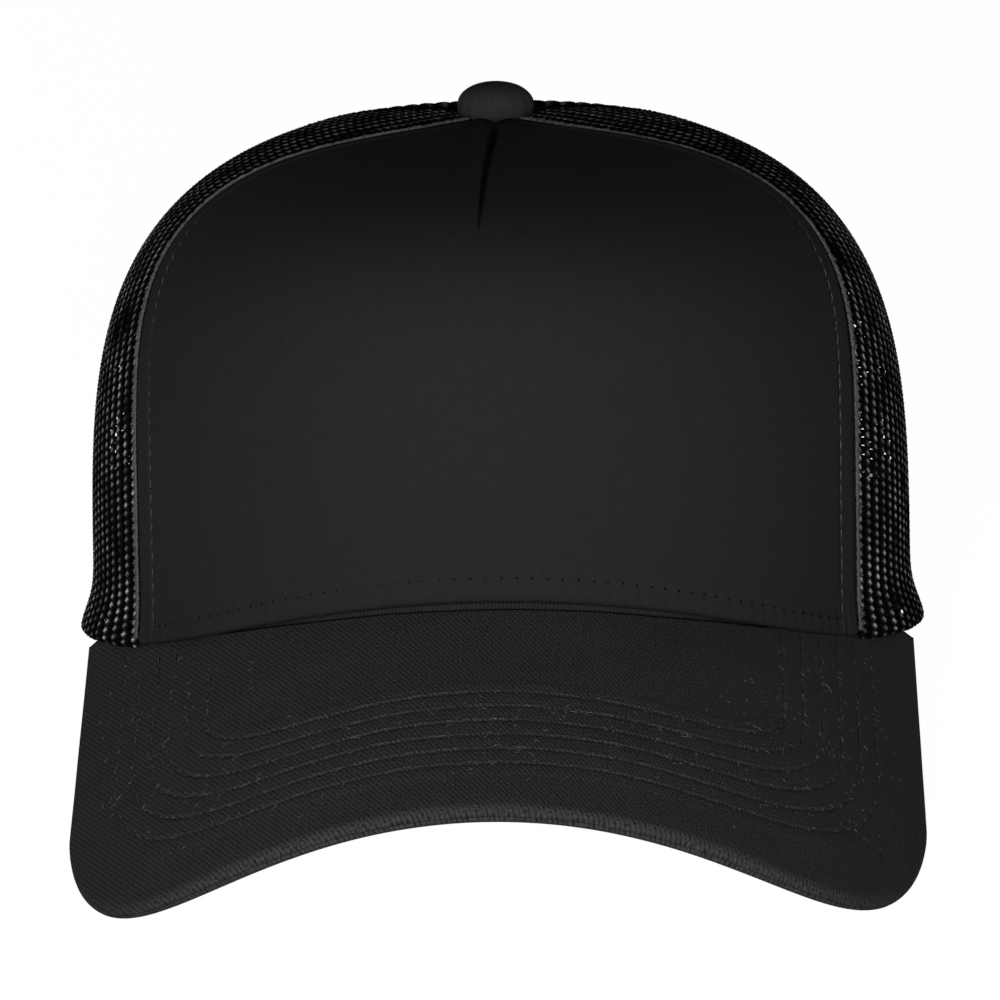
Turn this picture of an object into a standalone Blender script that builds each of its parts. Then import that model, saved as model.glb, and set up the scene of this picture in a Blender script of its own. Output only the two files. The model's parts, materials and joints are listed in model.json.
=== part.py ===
"""Five-panel trucker cap: stiff front panel, four mesh panels, bent brim and a snap strap.

Built in the cap's own frame (front along -Y, the edge at the temples on z = 0, the crown's
widest ellipse centred on the Z axis), then tipped so that it stands on the two low corners of
its brim and the back of its edge, with the middle of its base at the world origin.
"""
import math

import bmesh
import bpy
import numpy as np
from mathutils import Matrix, Vector

# Driving dimensions, in metres and degrees.
HALF_WIDTH = 0.0864            # the crown's edge is an ellipse
HALF_LENGTH = 0.0985
CROWN_HEIGHT = 0.1040          # apex above the edge at the temples
APEX_Y = 0.0060
TOP_LEAN = 0.0345               # the top of the crown falls towards the front by this slope
# Crown fullness: the first number rounds it in plan, the second in height.
FULLNESS_SIDE = (2.715, 3.985)
FULLNESS_FRONT = (3.218, 5.874)
FULLNESS_BACK = (2.3, 3.2)
APEX_DIMPLE = 0.0003           # the button pulls the cloth down this far
DIMPLE_RADIUS = 0.0125
HEM_FALL = 7.0                 # the edge falls towards the back
HEM_FLARE = 0.003              # the folded mesh edge stands out
HEM_FLARE_HEIGHT = 0.007
FLARE_FROM, FLARE_TO = 56.0, 70.0

BRIM_END = 68.0                # azimuth where the brim meets the mesh edge
BRIM_TILT = 20.84
BRIM_BEND = (53.57, -6.23)     # sideways slope at BEND_REACH from the middle, and its cubic part
BEND_REACH = 0.09
BRIM_LENGTH = 0.0683
BRIM_HALF_FLAT = 0.1022        # half the brim's width, measured along its bend
BRIM_SHOULDER = 0.0103         # how far forward its sides run straight
BRIM_CORNER = (5.45, 1.459)
BRIM_TIP_BACK = 0.0620
COVER = 0.0008
BOARD = 0.0018
GAP = 0.0003                   # between touching pieces
BRIM_INNER_DEPTH = 0.0024      # the brim reaches this far inside the crown's edge
EDGE_GAP = 0.0005              # from each cover's edge to the brim's middle
EDGE_ROLL = 0.002              # the covers turn down over the board's edge

CLOTH = 0.0006
LINING = 0.0010
MESH = 0.0006
TAPE = 0.0004
LINING_DEPTH = 0.0010
TAPE_DEPTH = 0.0011
TAPE_DEPTH_OVER_LINING = 0.0024
TAPE_HALF_WIDTH = 0.0055
TAPE_TOP = 0.87                # tapes stop before they crowd together at the button
SEAM_HALF_GAP = 0.0002
POST_HOLE = 0.974              # the panels stop here, short of the button's post

FRONT_SEAM = (58.39, -2.92, 109.07, -130.65, 3.48)     # azimuth, a polynomial in the rise angle
SIDE_SEAM = 119.0

BAND = 0.0012
BAND_HEIGHT = 0.032
BAND_DEPTH_FRONT = 0.0032
BAND_DEPTH_SIDE = 0.0019
BAND_END = 136.0

ARCH_HALF_WIDTH = 0.045
ARCH_HEIGHT = 0.054
ARCH_SQUARENESS = 2.6
BINDING_WIDTH = 0.007
BINDING = 0.0005
BINDING_CLEARANCE = 0.0006     # room for the mesh in the folded tape

BUTTON_RADIUS = 0.008
BUTTON_HEIGHT = 0.0056
BUTTON_LIFT = 0.0010           # its rim above the dimple's middle
BUTTON_SHELL = 0.0010
POST_RADIUS = 0.0012
BACKING_RADIUS = 0.0065

STRAP = 0.0012
STRAP_HEIGHT = 0.0155
STRAP_FOOT = 0.0020
STRAP_DEPTH = 0.0026
STRAP_STANDOFF = 0.0008        # each strap steps this far off their shared line
HINGE_X = 0.0395
HINGE_CLEARANCE = 0.0007
ROOT_LENGTH = 0.015
SNAP_PITCH = 0.009
SNAPS = 6
SNAPS_ENGAGED = 4
SNAP_MARGIN = 0.005
PEG_RADIUS = (0.0017, 0.0013)
PEG_HEIGHT = 0.0028
HOLE_RADIUS = 0.0025

LABEL_SIZE = (0.018, 0.026)
LABEL = 0.0004
LABEL_AZIMUTH = 112.0

CHARCOAL = (0.012, 0.012, 0.013, 1.0)
BLACK = (0.006, 0.006, 0.007, 1.0)
GREY = (0.05, 0.05, 0.055, 1.0)
WHITE = (0.75, 0.75, 0.73, 1.0)
STEEL = (0.55, 0.56, 0.58, 1.0)

for old in list(bpy.data.objects):
    bpy.data.objects.remove(old, do_unlink=True)

parts = bpy.data.collections.new("trucker_mesh_cap")
cutters = bpy.data.collections.new("cutters")
bpy.context.scene.collection.children.link(parts)
bpy.context.scene.collection.children.link(cutters)


# ---------------------------------------------------------------- surfaces

def running_total(rate, step):
    """The integral of a sampled rate, from zero."""
    return np.concatenate([[0.0], np.cumsum((rate[1:] + rate[:-1]) / 2 * step)])


BEND_STEP = 0.0005
BEND_LINE = np.arange(0.0, 0.12, BEND_STEP)
BEND_SLOPE = np.radians(
    BRIM_BEND[0] * BEND_LINE / BEND_REACH + BRIM_BEND[1] * (BEND_LINE / BEND_REACH) ** 3
)
BEND_ACROSS = running_total(np.cos(BEND_SLOPE), BEND_STEP)
BEND_DROP = running_total(np.sin(BEND_SLOPE), BEND_STEP)
TILT = math.radians(BRIM_TILT)


def seam_height(across, back, top):
    """Height of the brim's top face over a point of the crown's edge."""
    drop = np.interp(np.abs(across), BEND_ACROSS, BEND_DROP)
    return top - drop * math.cos(TILT) + math.tan(TILT) * (back - drop * math.sin(TILT))


SEAM_TOP = -float(seam_height(
    HALF_WIDTH * math.sin(math.radians(BRIM_END)),
    HALF_LENGTH * (1 - math.cos(math.radians(BRIM_END))),
    0.0,
))


def hem_height(y):
    """Height of the mesh edge, which falls in a plane towards the back."""
    temple = -HALF_LENGTH * math.cos(math.radians(BRIM_END))
    return -math.tan(math.radians(HEM_FALL)) * (y - temple)


def edge_point(azimuth):
    """The crown's lower edge; azimuth in radians from the front, positive towards +X."""
    x = HALF_WIDTH * np.sin(azimuth)
    y = -HALF_LENGTH * np.cos(azimuth)
    on_brim = seam_height(x, y + HALF_LENGTH, SEAM_TOP)
    over_brim = np.cos(azimuth) > math.cos(math.radians(BRIM_END))
    z = np.where(over_brim, on_brim, hem_height(y))
    return np.stack([x, y, z], -1)


def dome_point(azimuth, angle, hem_flare=HEM_FLARE):
    """The crown's outer face at a rise angle of 0 at the edge to 90 degrees at the apex."""
    edge = edge_point(azimuth)
    front = np.clip(np.cos(azimuth), 0, 1) ** 2
    back = np.clip(-np.cos(azimuth), 0, 1) ** 2
    side = 1 - front - back
    plan = FULLNESS_SIDE[0] * side + FULLNESS_FRONT[0] * front + FULLNESS_BACK[0] * back
    tall = FULLNESS_SIDE[1] * side + FULLNESS_FRONT[1] * front + FULLNESS_BACK[1] * back
    out = np.cos(angle) ** (2 / plan)
    up = np.sin(angle) ** (2 / tall)
    point = np.empty_like(edge)
    point[..., 0] = edge[..., 0] * out
    point[..., 1] = edge[..., 1] * out + APEX_Y * (1 - out)
    point[..., 2] = edge[..., 2] + (CROWN_HEIGHT - edge[..., 2]) * up
    point[..., 2] += TOP_LEAN * (point[..., 1] - APEX_Y) * up**2
    reach = np.hypot(point[..., 0], point[..., 1] - APEX_Y)
    point[..., 2] -= APEX_DIMPLE * np.exp(-(reach / DIMPLE_RADIUS) ** 4)
    bare = np.clip((np.degrees(np.abs(azimuth)) - FLARE_FROM) / (FLARE_TO - FLARE_FROM), 0, 1)
    height = point[..., 2] - edge[..., 2]
    flare = hem_flare * bare * np.exp(-(height / HEM_FLARE_HEIGHT) ** 2)
    point[..., 0] += flare * np.sin(azimuth)
    point[..., 1] -= flare * np.cos(azimuth)
    return point


ANGLES = np.linspace(0, math.pi / 2, 4001) ** 2 / (math.pi / 2)
SIDE_LINE = dome_point(np.full_like(ANGLES, math.pi / 2), ANGLES)
SIDE_ARC = np.concatenate([[0.0], np.cumsum(np.linalg.norm(np.diff(SIDE_LINE, axis=0), axis=1))])
ARC_LENGTH = float(SIDE_ARC[-1])
NUDGE = 0.0015


def rise_angle(rise):
    """Rise angle for a share of the way up the side, 0 at the edge and 1 at the apex."""
    return np.interp(rise, SIDE_ARC / ARC_LENGTH, ANGLES)


def crown(azimuth, rise, depth=0.0, hem_flare=HEM_FLARE):
    """A point a given depth inside the crown's outer face, and the outward normal there."""
    azimuth, rise = np.broadcast_arrays(np.asarray(azimuth, float), np.asarray(rise, float))
    low = np.clip(rise - NUDGE, 0, 1)
    high = np.clip(rise + NUDGE, 0, 1)
    level = np.clip(rise, 0, 0.985)
    along = dome_point(azimuth + NUDGE, rise_angle(level), hem_flare)
    along = along - dome_point(azimuth - NUDGE, rise_angle(level), hem_flare)
    upward = dome_point(azimuth, rise_angle(high), hem_flare)
    upward = upward - dome_point(azimuth, rise_angle(low), hem_flare)
    normal = np.cross(along, upward)
    normal /= np.linalg.norm(normal, axis=-1, keepdims=True)
    point = dome_point(azimuth, rise_angle(rise), hem_flare)
    return point - np.asarray(depth)[..., None] * normal, normal


def front_seam(rise):
    """Azimuth in radians of the seam between the front panel and the side mesh."""
    share = rise_angle(rise) / (math.pi / 2)
    return np.radians(np.polyval(FRONT_SEAM[::-1], share))


def turn(length, rise):
    """The change of azimuth that covers a length round the crown at this rise."""
    radius = HALF_WIDTH * np.cos(rise_angle(rise)) ** (2 / FULLNESS_SIDE[0])
    return length / np.maximum(radius, 0.002)


def brim_point(across, forward, depth=0.0):
    """The brim's top face; across is measured along its bend, depth is below the face."""
    side = np.sign(across)
    reach = np.abs(across)
    slope = np.interp(reach, BEND_LINE, BEND_SLOPE)
    x = side * np.interp(reach, BEND_LINE, BEND_ACROSS)
    drop = np.interp(reach, BEND_LINE, BEND_DROP)
    x = x - side * np.sin(slope) * depth
    drop = drop + np.cos(slope) * depth
    y = -HALF_LENGTH + drop * math.sin(TILT) - forward * math.cos(TILT)
    z = SEAM_TOP - drop * math.cos(TILT) - forward * math.sin(TILT)
    return np.stack([x, y, z], -1)


def resample(line, count):
    """Evenly spaced points along a flat polyline."""
    length = np.concatenate([[0.0], np.cumsum(np.linalg.norm(np.diff(line, axis=0), axis=1))])
    at = np.linspace(0, length[-1], count)
    return np.stack([np.interp(at, length, line[:, i]) for i in range(line.shape[1])], -1)


def brim_outline(inset, count):
    """Half of the brim's flat outline, from the middle of its front to its tip at the side."""
    angle = np.linspace(math.pi / 2, 0, 121)
    half = BRIM_HALF_FLAT - inset
    across = half * np.cos(angle) ** (2 / BRIM_CORNER[0])
    reach = BRIM_LENGTH - inset - BRIM_SHOULDER
    forward = BRIM_SHOULDER + reach * np.sin(angle) ** (2 / BRIM_CORNER[1])
    across = np.append(across, half)
    forward = np.append(forward, -BRIM_TIP_BACK + inset)
    return resample(np.stack([across, forward], -1), count)


def brim_inner(lower_face, count):
    """Half of a brim layer's flat inner edge; its lower face ends just short of the band."""
    azimuth = np.radians(np.linspace(0, BRIM_END + 3, 60))
    x = (HALF_WIDTH - BRIM_INNER_DEPTH) * np.sin(azimuth)
    y = -(HALF_LENGTH - BRIM_INNER_DEPTH) * np.cos(azimuth)
    across = np.interp(x, BEND_ACROSS - np.sin(BEND_SLOPE) * lower_face, BEND_LINE)
    slope = np.interp(across, BEND_LINE, BEND_SLOPE)
    drop = np.interp(across, BEND_LINE, BEND_DROP) + np.cos(slope) * lower_face
    forward = (-HALF_LENGTH + drop * math.sin(TILT) - y) / math.cos(TILT)
    return resample(np.stack([across, forward], -1), count)


# ---------------------------------------------------------------- making solids

def finish(name, colour, roughness, metallic=0.0):
    """A plain Principled material."""
    material = bpy.data.materials.new(name)
    material.use_nodes = True
    shader = material.node_tree.nodes["Principled BSDF"]
    shader.inputs["Base Color"].default_value = colour
    shader.inputs["Roughness"].default_value = roughness
    shader.inputs["Metallic"].default_value = metallic
    return material


def add_object(name, mesh, material, collection=parts):
    mesh.name = name
    thing = bpy.data.objects.new(name, mesh)
    collection.objects.link(thing)
    if material:
        mesh.materials.append(material)
    return thing


def grid_mesh(grid):
    """An open surface through a grid of points, rows by columns."""
    rows, columns = grid.shape[:2]
    mesh = bpy.data.meshes.new("grid")
    corner = np.arange(rows * columns).reshape(rows, columns)
    faces = np.stack(
        [corner[:-1, :-1], corner[:-1, 1:], corner[1:, 1:], corner[1:, :-1]], -1
    ).reshape(-1, 4)
    mesh.from_pydata(grid.reshape(-1, 3).tolist(), [], faces.tolist())
    mesh.update()
    return mesh


def sheet(name, grid, thickness, material):
    """A skin whose outer face follows the grid and whose thickness goes inwards."""
    thing = add_object(name, grid_mesh(grid), material)
    skin = thing.modifiers.new("thickness", "SOLIDIFY")
    skin.thickness = thickness
    skin.offset = -1.0
    skin.use_even_offset = True
    thing.data.shade_smooth()
    return thing


def section_sweep(name, rings, material, collection=parts):
    """A closed bar through rings of points, capped at both ends."""
    bm = bmesh.new()
    loops = [[bm.verts.new(point) for point in ring] for ring in rings]
    for here, there in zip(loops, loops[1:]):
        for i in range(len(here)):
            j = (i + 1) % len(here)
            bm.faces.new((here[i], here[j], there[j], there[i]))
    bm.faces.new(reversed(loops[0]))
    bm.faces.new(loops[-1])
    bmesh.ops.recalc_face_normals(bm, faces=bm.faces)
    mesh = bpy.data.meshes.new(name)
    bm.to_mesh(mesh)
    bm.free()
    return add_object(name, mesh, material, collection)


def turned(name, profile, material, steps=24):
    """A solid of revolution; the profile runs down its outer side from axis to axis."""
    mesh = bpy.data.meshes.new(name)
    points = [(radius, 0.0, height) for radius, height in profile]
    mesh.from_pydata(points, [(i, i + 1) for i in range(len(points) - 1)], [])
    thing = add_object(name, mesh, material)
    screw = thing.modifiers.new("turn", "SCREW")
    screw.steps = steps
    screw.render_steps = steps
    screw.use_merge_vertices = True
    screw.merge_threshold = 0.00001
    screw.use_smooth_shade = True
    return thing


def boolean(thing, cutter, operation):
    cutter.hide_render = True
    cutter.display_type = "WIRE"
    change = thing.modifiers.new(operation.lower(), "BOOLEAN")
    change.operation = operation
    change.object = cutter
    change.solver = "EXACT"


# ---------------------------------------------------------------- crown panels

CROWN_ROWS = 18
LOWEST_RISE = 0.0006 / ARC_LENGTH
FLARE_RISE = 0.0045 / ARC_LENGTH   # an extra row where the edge flares
LINING_FOOT = 0.0026 / ARC_LENGTH
LINING_HALF_GAP = 0.0008
FRONT_TAPE_FOOT = 0.0034 / ARC_LENGTH


def rises(foot, top=POST_HOLE):
    """Shared heights for every crown skin, so that nested skins have matching facets."""
    levels = np.linspace(0, POST_HOLE, CROWN_ROWS)
    levels = np.insert(levels, 1, FLARE_RISE)
    levels[0] = foot
    return levels[levels <= top + 1e-9][:, None]


def mirror(grid):
    """The same face on the other side of the cap, still facing out."""
    return grid[:, ::-1] * np.array([-1.0, 1.0, 1.0])


def panel(name, near, far, columns, depth, thickness, material, side=1, foot=LOWEST_RISE):
    """A crown skin between two edges, each an azimuth that depends on the rise."""
    level = rises(foot)
    share = np.linspace(0, 1, columns)[None, :]
    azimuth = near(level) + (far(level) - near(level)) * share
    points, _ = crown(azimuth, level, depth)
    if side < 0:
        points = mirror(points)
    return sheet(name, points, thickness, material)


def beside(seam, side, length=SEAM_HALF_GAP):
    """An edge that keeps a length away from a seam, on one side of it."""
    return lambda rise: seam(rise) + side * turn(length, rise)


def side_seam(rise):
    return np.radians(SIDE_SEAM) + 0 * rise


def mid_back(rise):
    return math.pi + 0 * rise


def front_panels():
    """The cloth panel and the stiff lining laminated inside it."""
    cloth_edge = beside(front_seam, -1)
    panel(
        "front_panel", lambda rise: -cloth_edge(rise), cloth_edge, 19,
        0.0, CLOTH, finish("front_twill", CHARCOAL, 0.85),
    )
    lining_edge = beside(front_seam, -1, LINING_HALF_GAP)
    panel(
        "front_lining", lambda rise: -lining_edge(rise), lining_edge, 19,
        LINING_DEPTH, LINING, finish("lining", GREY, 0.9), foot=LINING_FOOT,
    )


def arch_outline(count, foot=0.0):
    """The rear opening seen from behind, from its -X foot over the top to its +X foot."""
    foot_y = HALF_LENGTH * math.sqrt(1 - (ARCH_HALF_WIDTH / HALF_WIDTH) ** 2)
    angle = np.linspace(math.pi, 0, count)
    power = 2 / ARCH_SQUARENESS
    across = ARCH_HALF_WIDTH * np.sign(np.cos(angle)) * np.abs(np.cos(angle)) ** power
    rise = ARCH_HEIGHT * np.abs(np.sin(angle)) ** power
    return across, hem_height(foot_y) + np.maximum(rise, foot)


def arch_cutter():
    """A prism through the back of the cap in the shape of the opening."""
    across, height = arch_outline(33)
    below = hem_height(HALF_LENGTH) - 0.02
    height = np.concatenate([[below], height[1:-1], [below]])
    rings = [
        [(x, y, z) for x, z in zip(across, height)]
        for y in (0.4 * HALF_LENGTH, 1.3 * HALF_LENGTH)
    ]
    return section_sweep("arch_cutter", rings, None, cutters)


def mesh_panels():
    knit = finish("knit", BLACK, 0.8)
    cutter = arch_cutter()
    for side, suffix in ((1, "left"), (-1, "right")):
        panel(
            "side_mesh_" + suffix, beside(front_seam, 1), beside(side_seam, -1), 9,
            0.0, MESH, knit, side,
        )
        rear = panel(
            "rear_mesh_" + suffix, beside(side_seam, 1), beside(mid_back, -1), 11,
            0.0, MESH, knit, side,
        )
        boolean(rear, cutter, "DIFFERENCE")


def seam_tape(name, seam, across, material, side=1, foot=LOWEST_RISE, from_height=None):
    """A strip inside the crown along a seam; across lists (offset, depth) from side to side."""
    level = rises(foot, TAPE_TOP)
    if from_height is not None:
        level = np.linspace(from_height, level[-1, 0], 10)[:, None]
    offset = np.array([place for place, _ in across])[None, :]
    depth = np.array([deep for _, deep in across])[None, :]
    azimuth = seam(level) + turn(offset, level)
    points, _ = crown(azimuth, level, np.broadcast_to(depth, azimuth.shape), 0.0)
    if side < 0:
        points = mirror(points)
    return sheet(name, points, TAPE, material)


TAPE_STEP = (-0.0002, 0.0024)      # where the front tape comes down off the lining
TAPE_ABOVE_ARCH = 0.003


def seam_tapes():
    cotton = finish("tape", BLACK, 0.85)
    flat = [(-TAPE_HALF_WIDTH, TAPE_DEPTH), (0.0, TAPE_DEPTH), (TAPE_HALF_WIDTH, TAPE_DEPTH)]
    stepped = [
        (-TAPE_HALF_WIDTH, TAPE_DEPTH_OVER_LINING), (TAPE_STEP[0], TAPE_DEPTH_OVER_LINING),
        (TAPE_STEP[1], TAPE_DEPTH), (TAPE_HALF_WIDTH, TAPE_DEPTH),
    ]
    for side, suffix in ((1, "left"), (-1, "right")):
        seam_tape(
            "front_seam_tape_" + suffix, front_seam, stepped, cotton, side, FRONT_TAPE_FOOT,
        )
        seam_tape("side_seam_tape_" + suffix, side_seam, flat, cotton, side)
    levels = np.linspace(0, 0.7, 200)
    heights = crown(np.full_like(levels, math.pi), levels)[0][:, 2]
    arch_top = arch_outline(3)[1][1]
    above_arch = float(np.interp(arch_top + BINDING_WIDTH + TAPE_ABOVE_ARCH, heights, levels))
    seam_tape("rear_seam_tape", mid_back, flat, cotton, from_height=above_arch)


SEARCH_STEPS = 40
SEARCH_GAIN = 0.7


def rear_surface(across, height, depth):
    """The crown's back at a place seen from behind: points at each depth, and the normal."""
    azimuth = math.pi - np.arcsin(across / HALF_WIDTH)
    rise = np.clip((height - hem_height(HALF_LENGTH)) / ARC_LENGTH, 0, 1)
    for _ in range(SEARCH_STEPS):
        point, _ = crown(azimuth, rise)
        azimuth = azimuth + SEARCH_GAIN * (point[..., 0] - across) / HALF_WIDTH
        rise = np.clip(rise - SEARCH_GAIN * (point[..., 2] - height) / ARC_LENGTH, 0, 1)
    return crown(azimuth, rise, depth)


BINDING_FOOT = 0.0012
BINDING_WEB = -0.0008              # the fold, just outside the mesh's cut edge


def arch_binding():
    """A tape folded over the edge of the rear opening, with a slot for the mesh."""
    across, height = arch_outline(31, BINDING_FOOT)
    across, height = across[1:-1], height[1:-1]
    point, normal = rear_surface(across, height, 0.0)
    along = np.gradient(point, axis=0)
    along /= np.linalg.norm(along, axis=-1, keepdims=True)
    away = np.cross(along, normal)
    outer = BINDING_CLEARANCE
    inner = -(MESH + BINDING_CLEARANCE)
    fold = BINDING_WEB - BINDING
    section = [
        (BINDING_WIDTH, outer), (BINDING_WIDTH, outer + BINDING),
        (fold, outer + BINDING), (fold, inner - BINDING),
        (BINDING_WIDTH, inner - BINDING), (BINDING_WIDTH, inner),
        (BINDING_WEB, inner), (BINDING_WEB, outer),
    ]
    rings = [
        [point[i] + away[i] * outward + normal[i] * lift for outward, lift in section]
        for i in range(len(point))
    ]
    section_sweep("arch_binding", rings, finish("binding", BLACK, 0.8))


# ---------------------------------------------------------------- brim

BRIM_THICKNESS = 2 * COVER + BOARD + 2 * GAP
BRIM_COLUMNS = 15
BRIM_ROWS = 8
ROLL_INSETS = (0.0011, 0.0004, 0.0)


def brim_grid(edge_insets, lower_face, depth_at):
    """Rows from the brim's inner edge to its outline, columns from its -X tip to its +X tip."""
    inset = EDGE_ROLL
    inner = brim_inner(lower_face, BRIM_COLUMNS)
    outer = brim_outline(inset, BRIM_COLUMNS)
    share = np.linspace(0, 1, BRIM_ROWS)[:, None, None]
    flat = inner + (outer - inner) * share
    depth = np.full(flat.shape[:2], depth_at(inset))
    for edge in edge_insets:
        flat = np.concatenate([flat, brim_outline(edge, BRIM_COLUMNS)[None]])
        depth = np.concatenate([depth, np.full((1, BRIM_COLUMNS), depth_at(edge))])
    half = brim_point(flat[..., 0], flat[..., 1], depth)
    return np.concatenate([mirror(half)[:, :-1], half], axis=1)


def roll(inset):
    """How far the brim's face has turned down at a distance inside its outline."""
    half = BRIM_THICKNESS / 2 - EDGE_GAP
    out = 1 - min(inset, EDGE_ROLL) / EDGE_ROLL
    return half * (1 - math.sqrt(1 - out * out))


def brim():
    twill = finish("brim_twill", CHARCOAL, 0.85)
    top = brim_grid(ROLL_INSETS, COVER, roll)
    sheet("brim_top_cover", top[::-1], COVER, twill)
    under = brim_grid(ROLL_INSETS, BRIM_THICKNESS, lambda inset: BRIM_THICKNESS - roll(inset))
    sheet("brim_under_cover", under, COVER, twill)
    board = brim_grid((), COVER + GAP + BOARD, lambda inset: COVER + GAP)
    sheet("brim_board", board[::-1], BOARD, finish("board", WHITE, 0.5))


# ---------------------------------------------------------------- sweatband and label

def blend(value, start, end):
    """A smooth step from 0 at start to 1 at end."""
    share = np.clip((value - start) / (end - start), 0, 1)
    return share * share * (3 - 2 * share)


BAND_STEP = (76.0, 92.0)           # azimuths where the band comes off the lining
BAND_RISE = (62.0, 84.0)           # azimuths where its lower edge comes up to the hem
BAND_FOOT_FRONT, BAND_FOOT_REAR = -0.0034, 0.0012
LABEL_FOOT, LABEL_GAP = 0.004, 0.0005


def band_depth(azimuth):
    """Outer face of the sweatband: further in over the lining than over the mesh."""
    rear = blend(np.degrees(np.abs(azimuth)), *BAND_STEP)
    return BAND_DEPTH_FRONT + (BAND_DEPTH_SIDE - BAND_DEPTH_FRONT) * rear


def band_point(azimuth, height, depth):
    """A point a height above the crown's edge, which may be below it."""
    point, _ = crown(azimuth, np.maximum(height, 0.0) / ARC_LENGTH, depth, 0.0)
    point[..., 2] += np.minimum(height, 0.0)
    return point


def sweatband():
    azimuth = np.radians(np.linspace(-BAND_END, BAND_END, 49))[None, :]
    rear = blend(np.degrees(np.abs(azimuth)), *BAND_RISE)
    foot = BAND_FOOT_FRONT + (BAND_FOOT_REAR - BAND_FOOT_FRONT) * rear
    share = np.linspace(0, 1, 5)[:, None]
    height = foot + (BAND_HEIGHT - foot) * share
    azimuth = np.broadcast_to(azimuth, height.shape)
    points = band_point(azimuth, height, band_depth(azimuth))
    sheet("sweatband", points, BAND, finish("sweatband", BLACK, 0.85))


def care_label():
    """A blank tag sewn to the inside of the sweatband."""
    middle = math.radians(LABEL_AZIMUTH)
    half = LABEL_SIZE[0] / 2 / HALF_WIDTH
    azimuth = np.linspace(middle - half, middle + half, 4)[None, :]
    height = np.linspace(LABEL_FOOT, LABEL_FOOT + LABEL_SIZE[1], 4)[:, None]
    azimuth, height = np.broadcast_arrays(azimuth, height)
    depth = BAND_DEPTH_SIDE + BAND + LABEL_GAP
    points = band_point(azimuth, height, np.full(azimuth.shape, depth))
    sheet("care_label", points, LABEL, finish("label", WHITE, 0.7))


# ---------------------------------------------------------------- button

BUTTON_ROUNDNESS = 0.9
BUTTON_SIDE = 0.0009               # height of the dome's upright side
BUTTON_CHAMFER = 0.0004
HOLLOW_STEP = (0.0002, 0.0005, 0.0012)
FLANGE, FLANGE_LIFT, FLANGE_INSET = 0.0007, 0.0011, 0.0012
STUD_TAIL = 0.0042
BACKING, BACKING_GAP, BACKING_CHAMFER, HOLE_CLEARANCE = 0.0012, 0.0018, 0.0004, 0.0003


def button_profile():
    """The cover, from its top down its outside and back up its hollow."""
    rim = BUTTON_LIFT
    steps = np.linspace(math.pi / 2, 0, 8)[1:]
    dome = [
        (
            BUTTON_RADIUS * math.cos(a) ** BUTTON_ROUNDNESS,
            rim + BUTTON_SIDE + (BUTTON_HEIGHT - BUTTON_SIDE) * math.sin(a),
        )
        for a in steps
    ]
    hollow = BUTTON_RADIUS - BUTTON_SHELL
    inward, further, upward = HOLLOW_STEP
    underside = [
        (BUTTON_RADIUS - BUTTON_CHAMFER, rim),
        (hollow - inward, rim),
        (hollow - further, rim + upward),
        (0.0, rim + BUTTON_HEIGHT - 2 * BUTTON_SHELL),
    ]
    return [(0.0, rim + BUTTON_HEIGHT)] + dome + underside


def stud_profile():
    """A flange inside the cover on a post through the crown."""
    flange = BUTTON_LIFT + FLANGE_LIFT
    reach = BUTTON_RADIUS - BUTTON_SHELL - FLANGE_INSET
    tail = -CLOTH - STUD_TAIL
    return [
        (0.0, flange), (reach, flange), (reach, flange - FLANGE),
        (POST_RADIUS, flange - FLANGE), (POST_RADIUS, tail), (0.0, tail),
    ]


def backing_profile():
    """A washer on the post, inside the lining."""
    top = -CLOTH - LINING - BACKING_GAP
    hole = POST_RADIUS + HOLE_CLEARANCE
    return [
        (hole, top), (BACKING_RADIUS - BACKING_CHAMFER, top),
        (BACKING_RADIUS, top - BACKING_CHAMFER), (BACKING_RADIUS, top - 2 * BACKING_CHAMFER),
        (hole, top - BACKING), (hole, top),
    ]


def button():
    """A covered dome outside, a stud through the crown and a backing disc inside."""

    steel = finish("steel", STEEL, 0.35, 1.0)
    pieces = (
        turned("button_cover", button_profile(), finish("button_cloth", CHARCOAL, 0.85)),
        turned("button_stud", stud_profile(), steel),
        turned("button_backing", backing_profile(), steel),
    )
    for piece in pieces:
        piece.location = (0.0, APEX_Y, CROWN_HEIGHT - APEX_DIMPLE)
        piece.rotation_euler = (math.atan(TOP_LEAN), 0.0, 0.0)


# ---------------------------------------------------------------- snap strap

UP = np.array([0.0, 0.0, 1.0])
BACK_ANGLES = np.linspace(-0.8, 0.8, 801)
HINGE_Y = (HALF_LENGTH - STRAP_DEPTH) * math.sqrt(1 - (HINGE_X / (HALF_WIDTH - STRAP_DEPTH)) ** 2)
BACK_LINE = np.stack([
    (HALF_WIDTH - STRAP_DEPTH) * np.sin(BACK_ANGLES),
    (HALF_LENGTH - STRAP_DEPTH) * np.cos(BACK_ANGLES),
    np.full_like(BACK_ANGLES, hem_height(HINGE_Y)),
], -1)
BACK_ARC = np.concatenate([[0], np.cumsum(np.linalg.norm(np.diff(BACK_LINE, axis=0), axis=1))])
BACK_ARC = BACK_ARC - BACK_ARC[len(BACK_ARC) // 2]
HINGE_ARC = float(np.interp(HINGE_X, BACK_LINE[:, 0], BACK_ARC))
STRAP_TIP = (SNAPS_ENGAGED - 1) / 2 * SNAP_PITCH + SNAP_MARGIN
STRAP_CORNER = 0.0055
STANDOFF_REACH = 0.011             # length over which a strap moves off the shared line
TIP_STEPS = (0.0042, 0.0028, 0.0016, 0.0007, 0.0)
TIP_RUN = 0.006
CUT_REACH = 0.003


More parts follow.
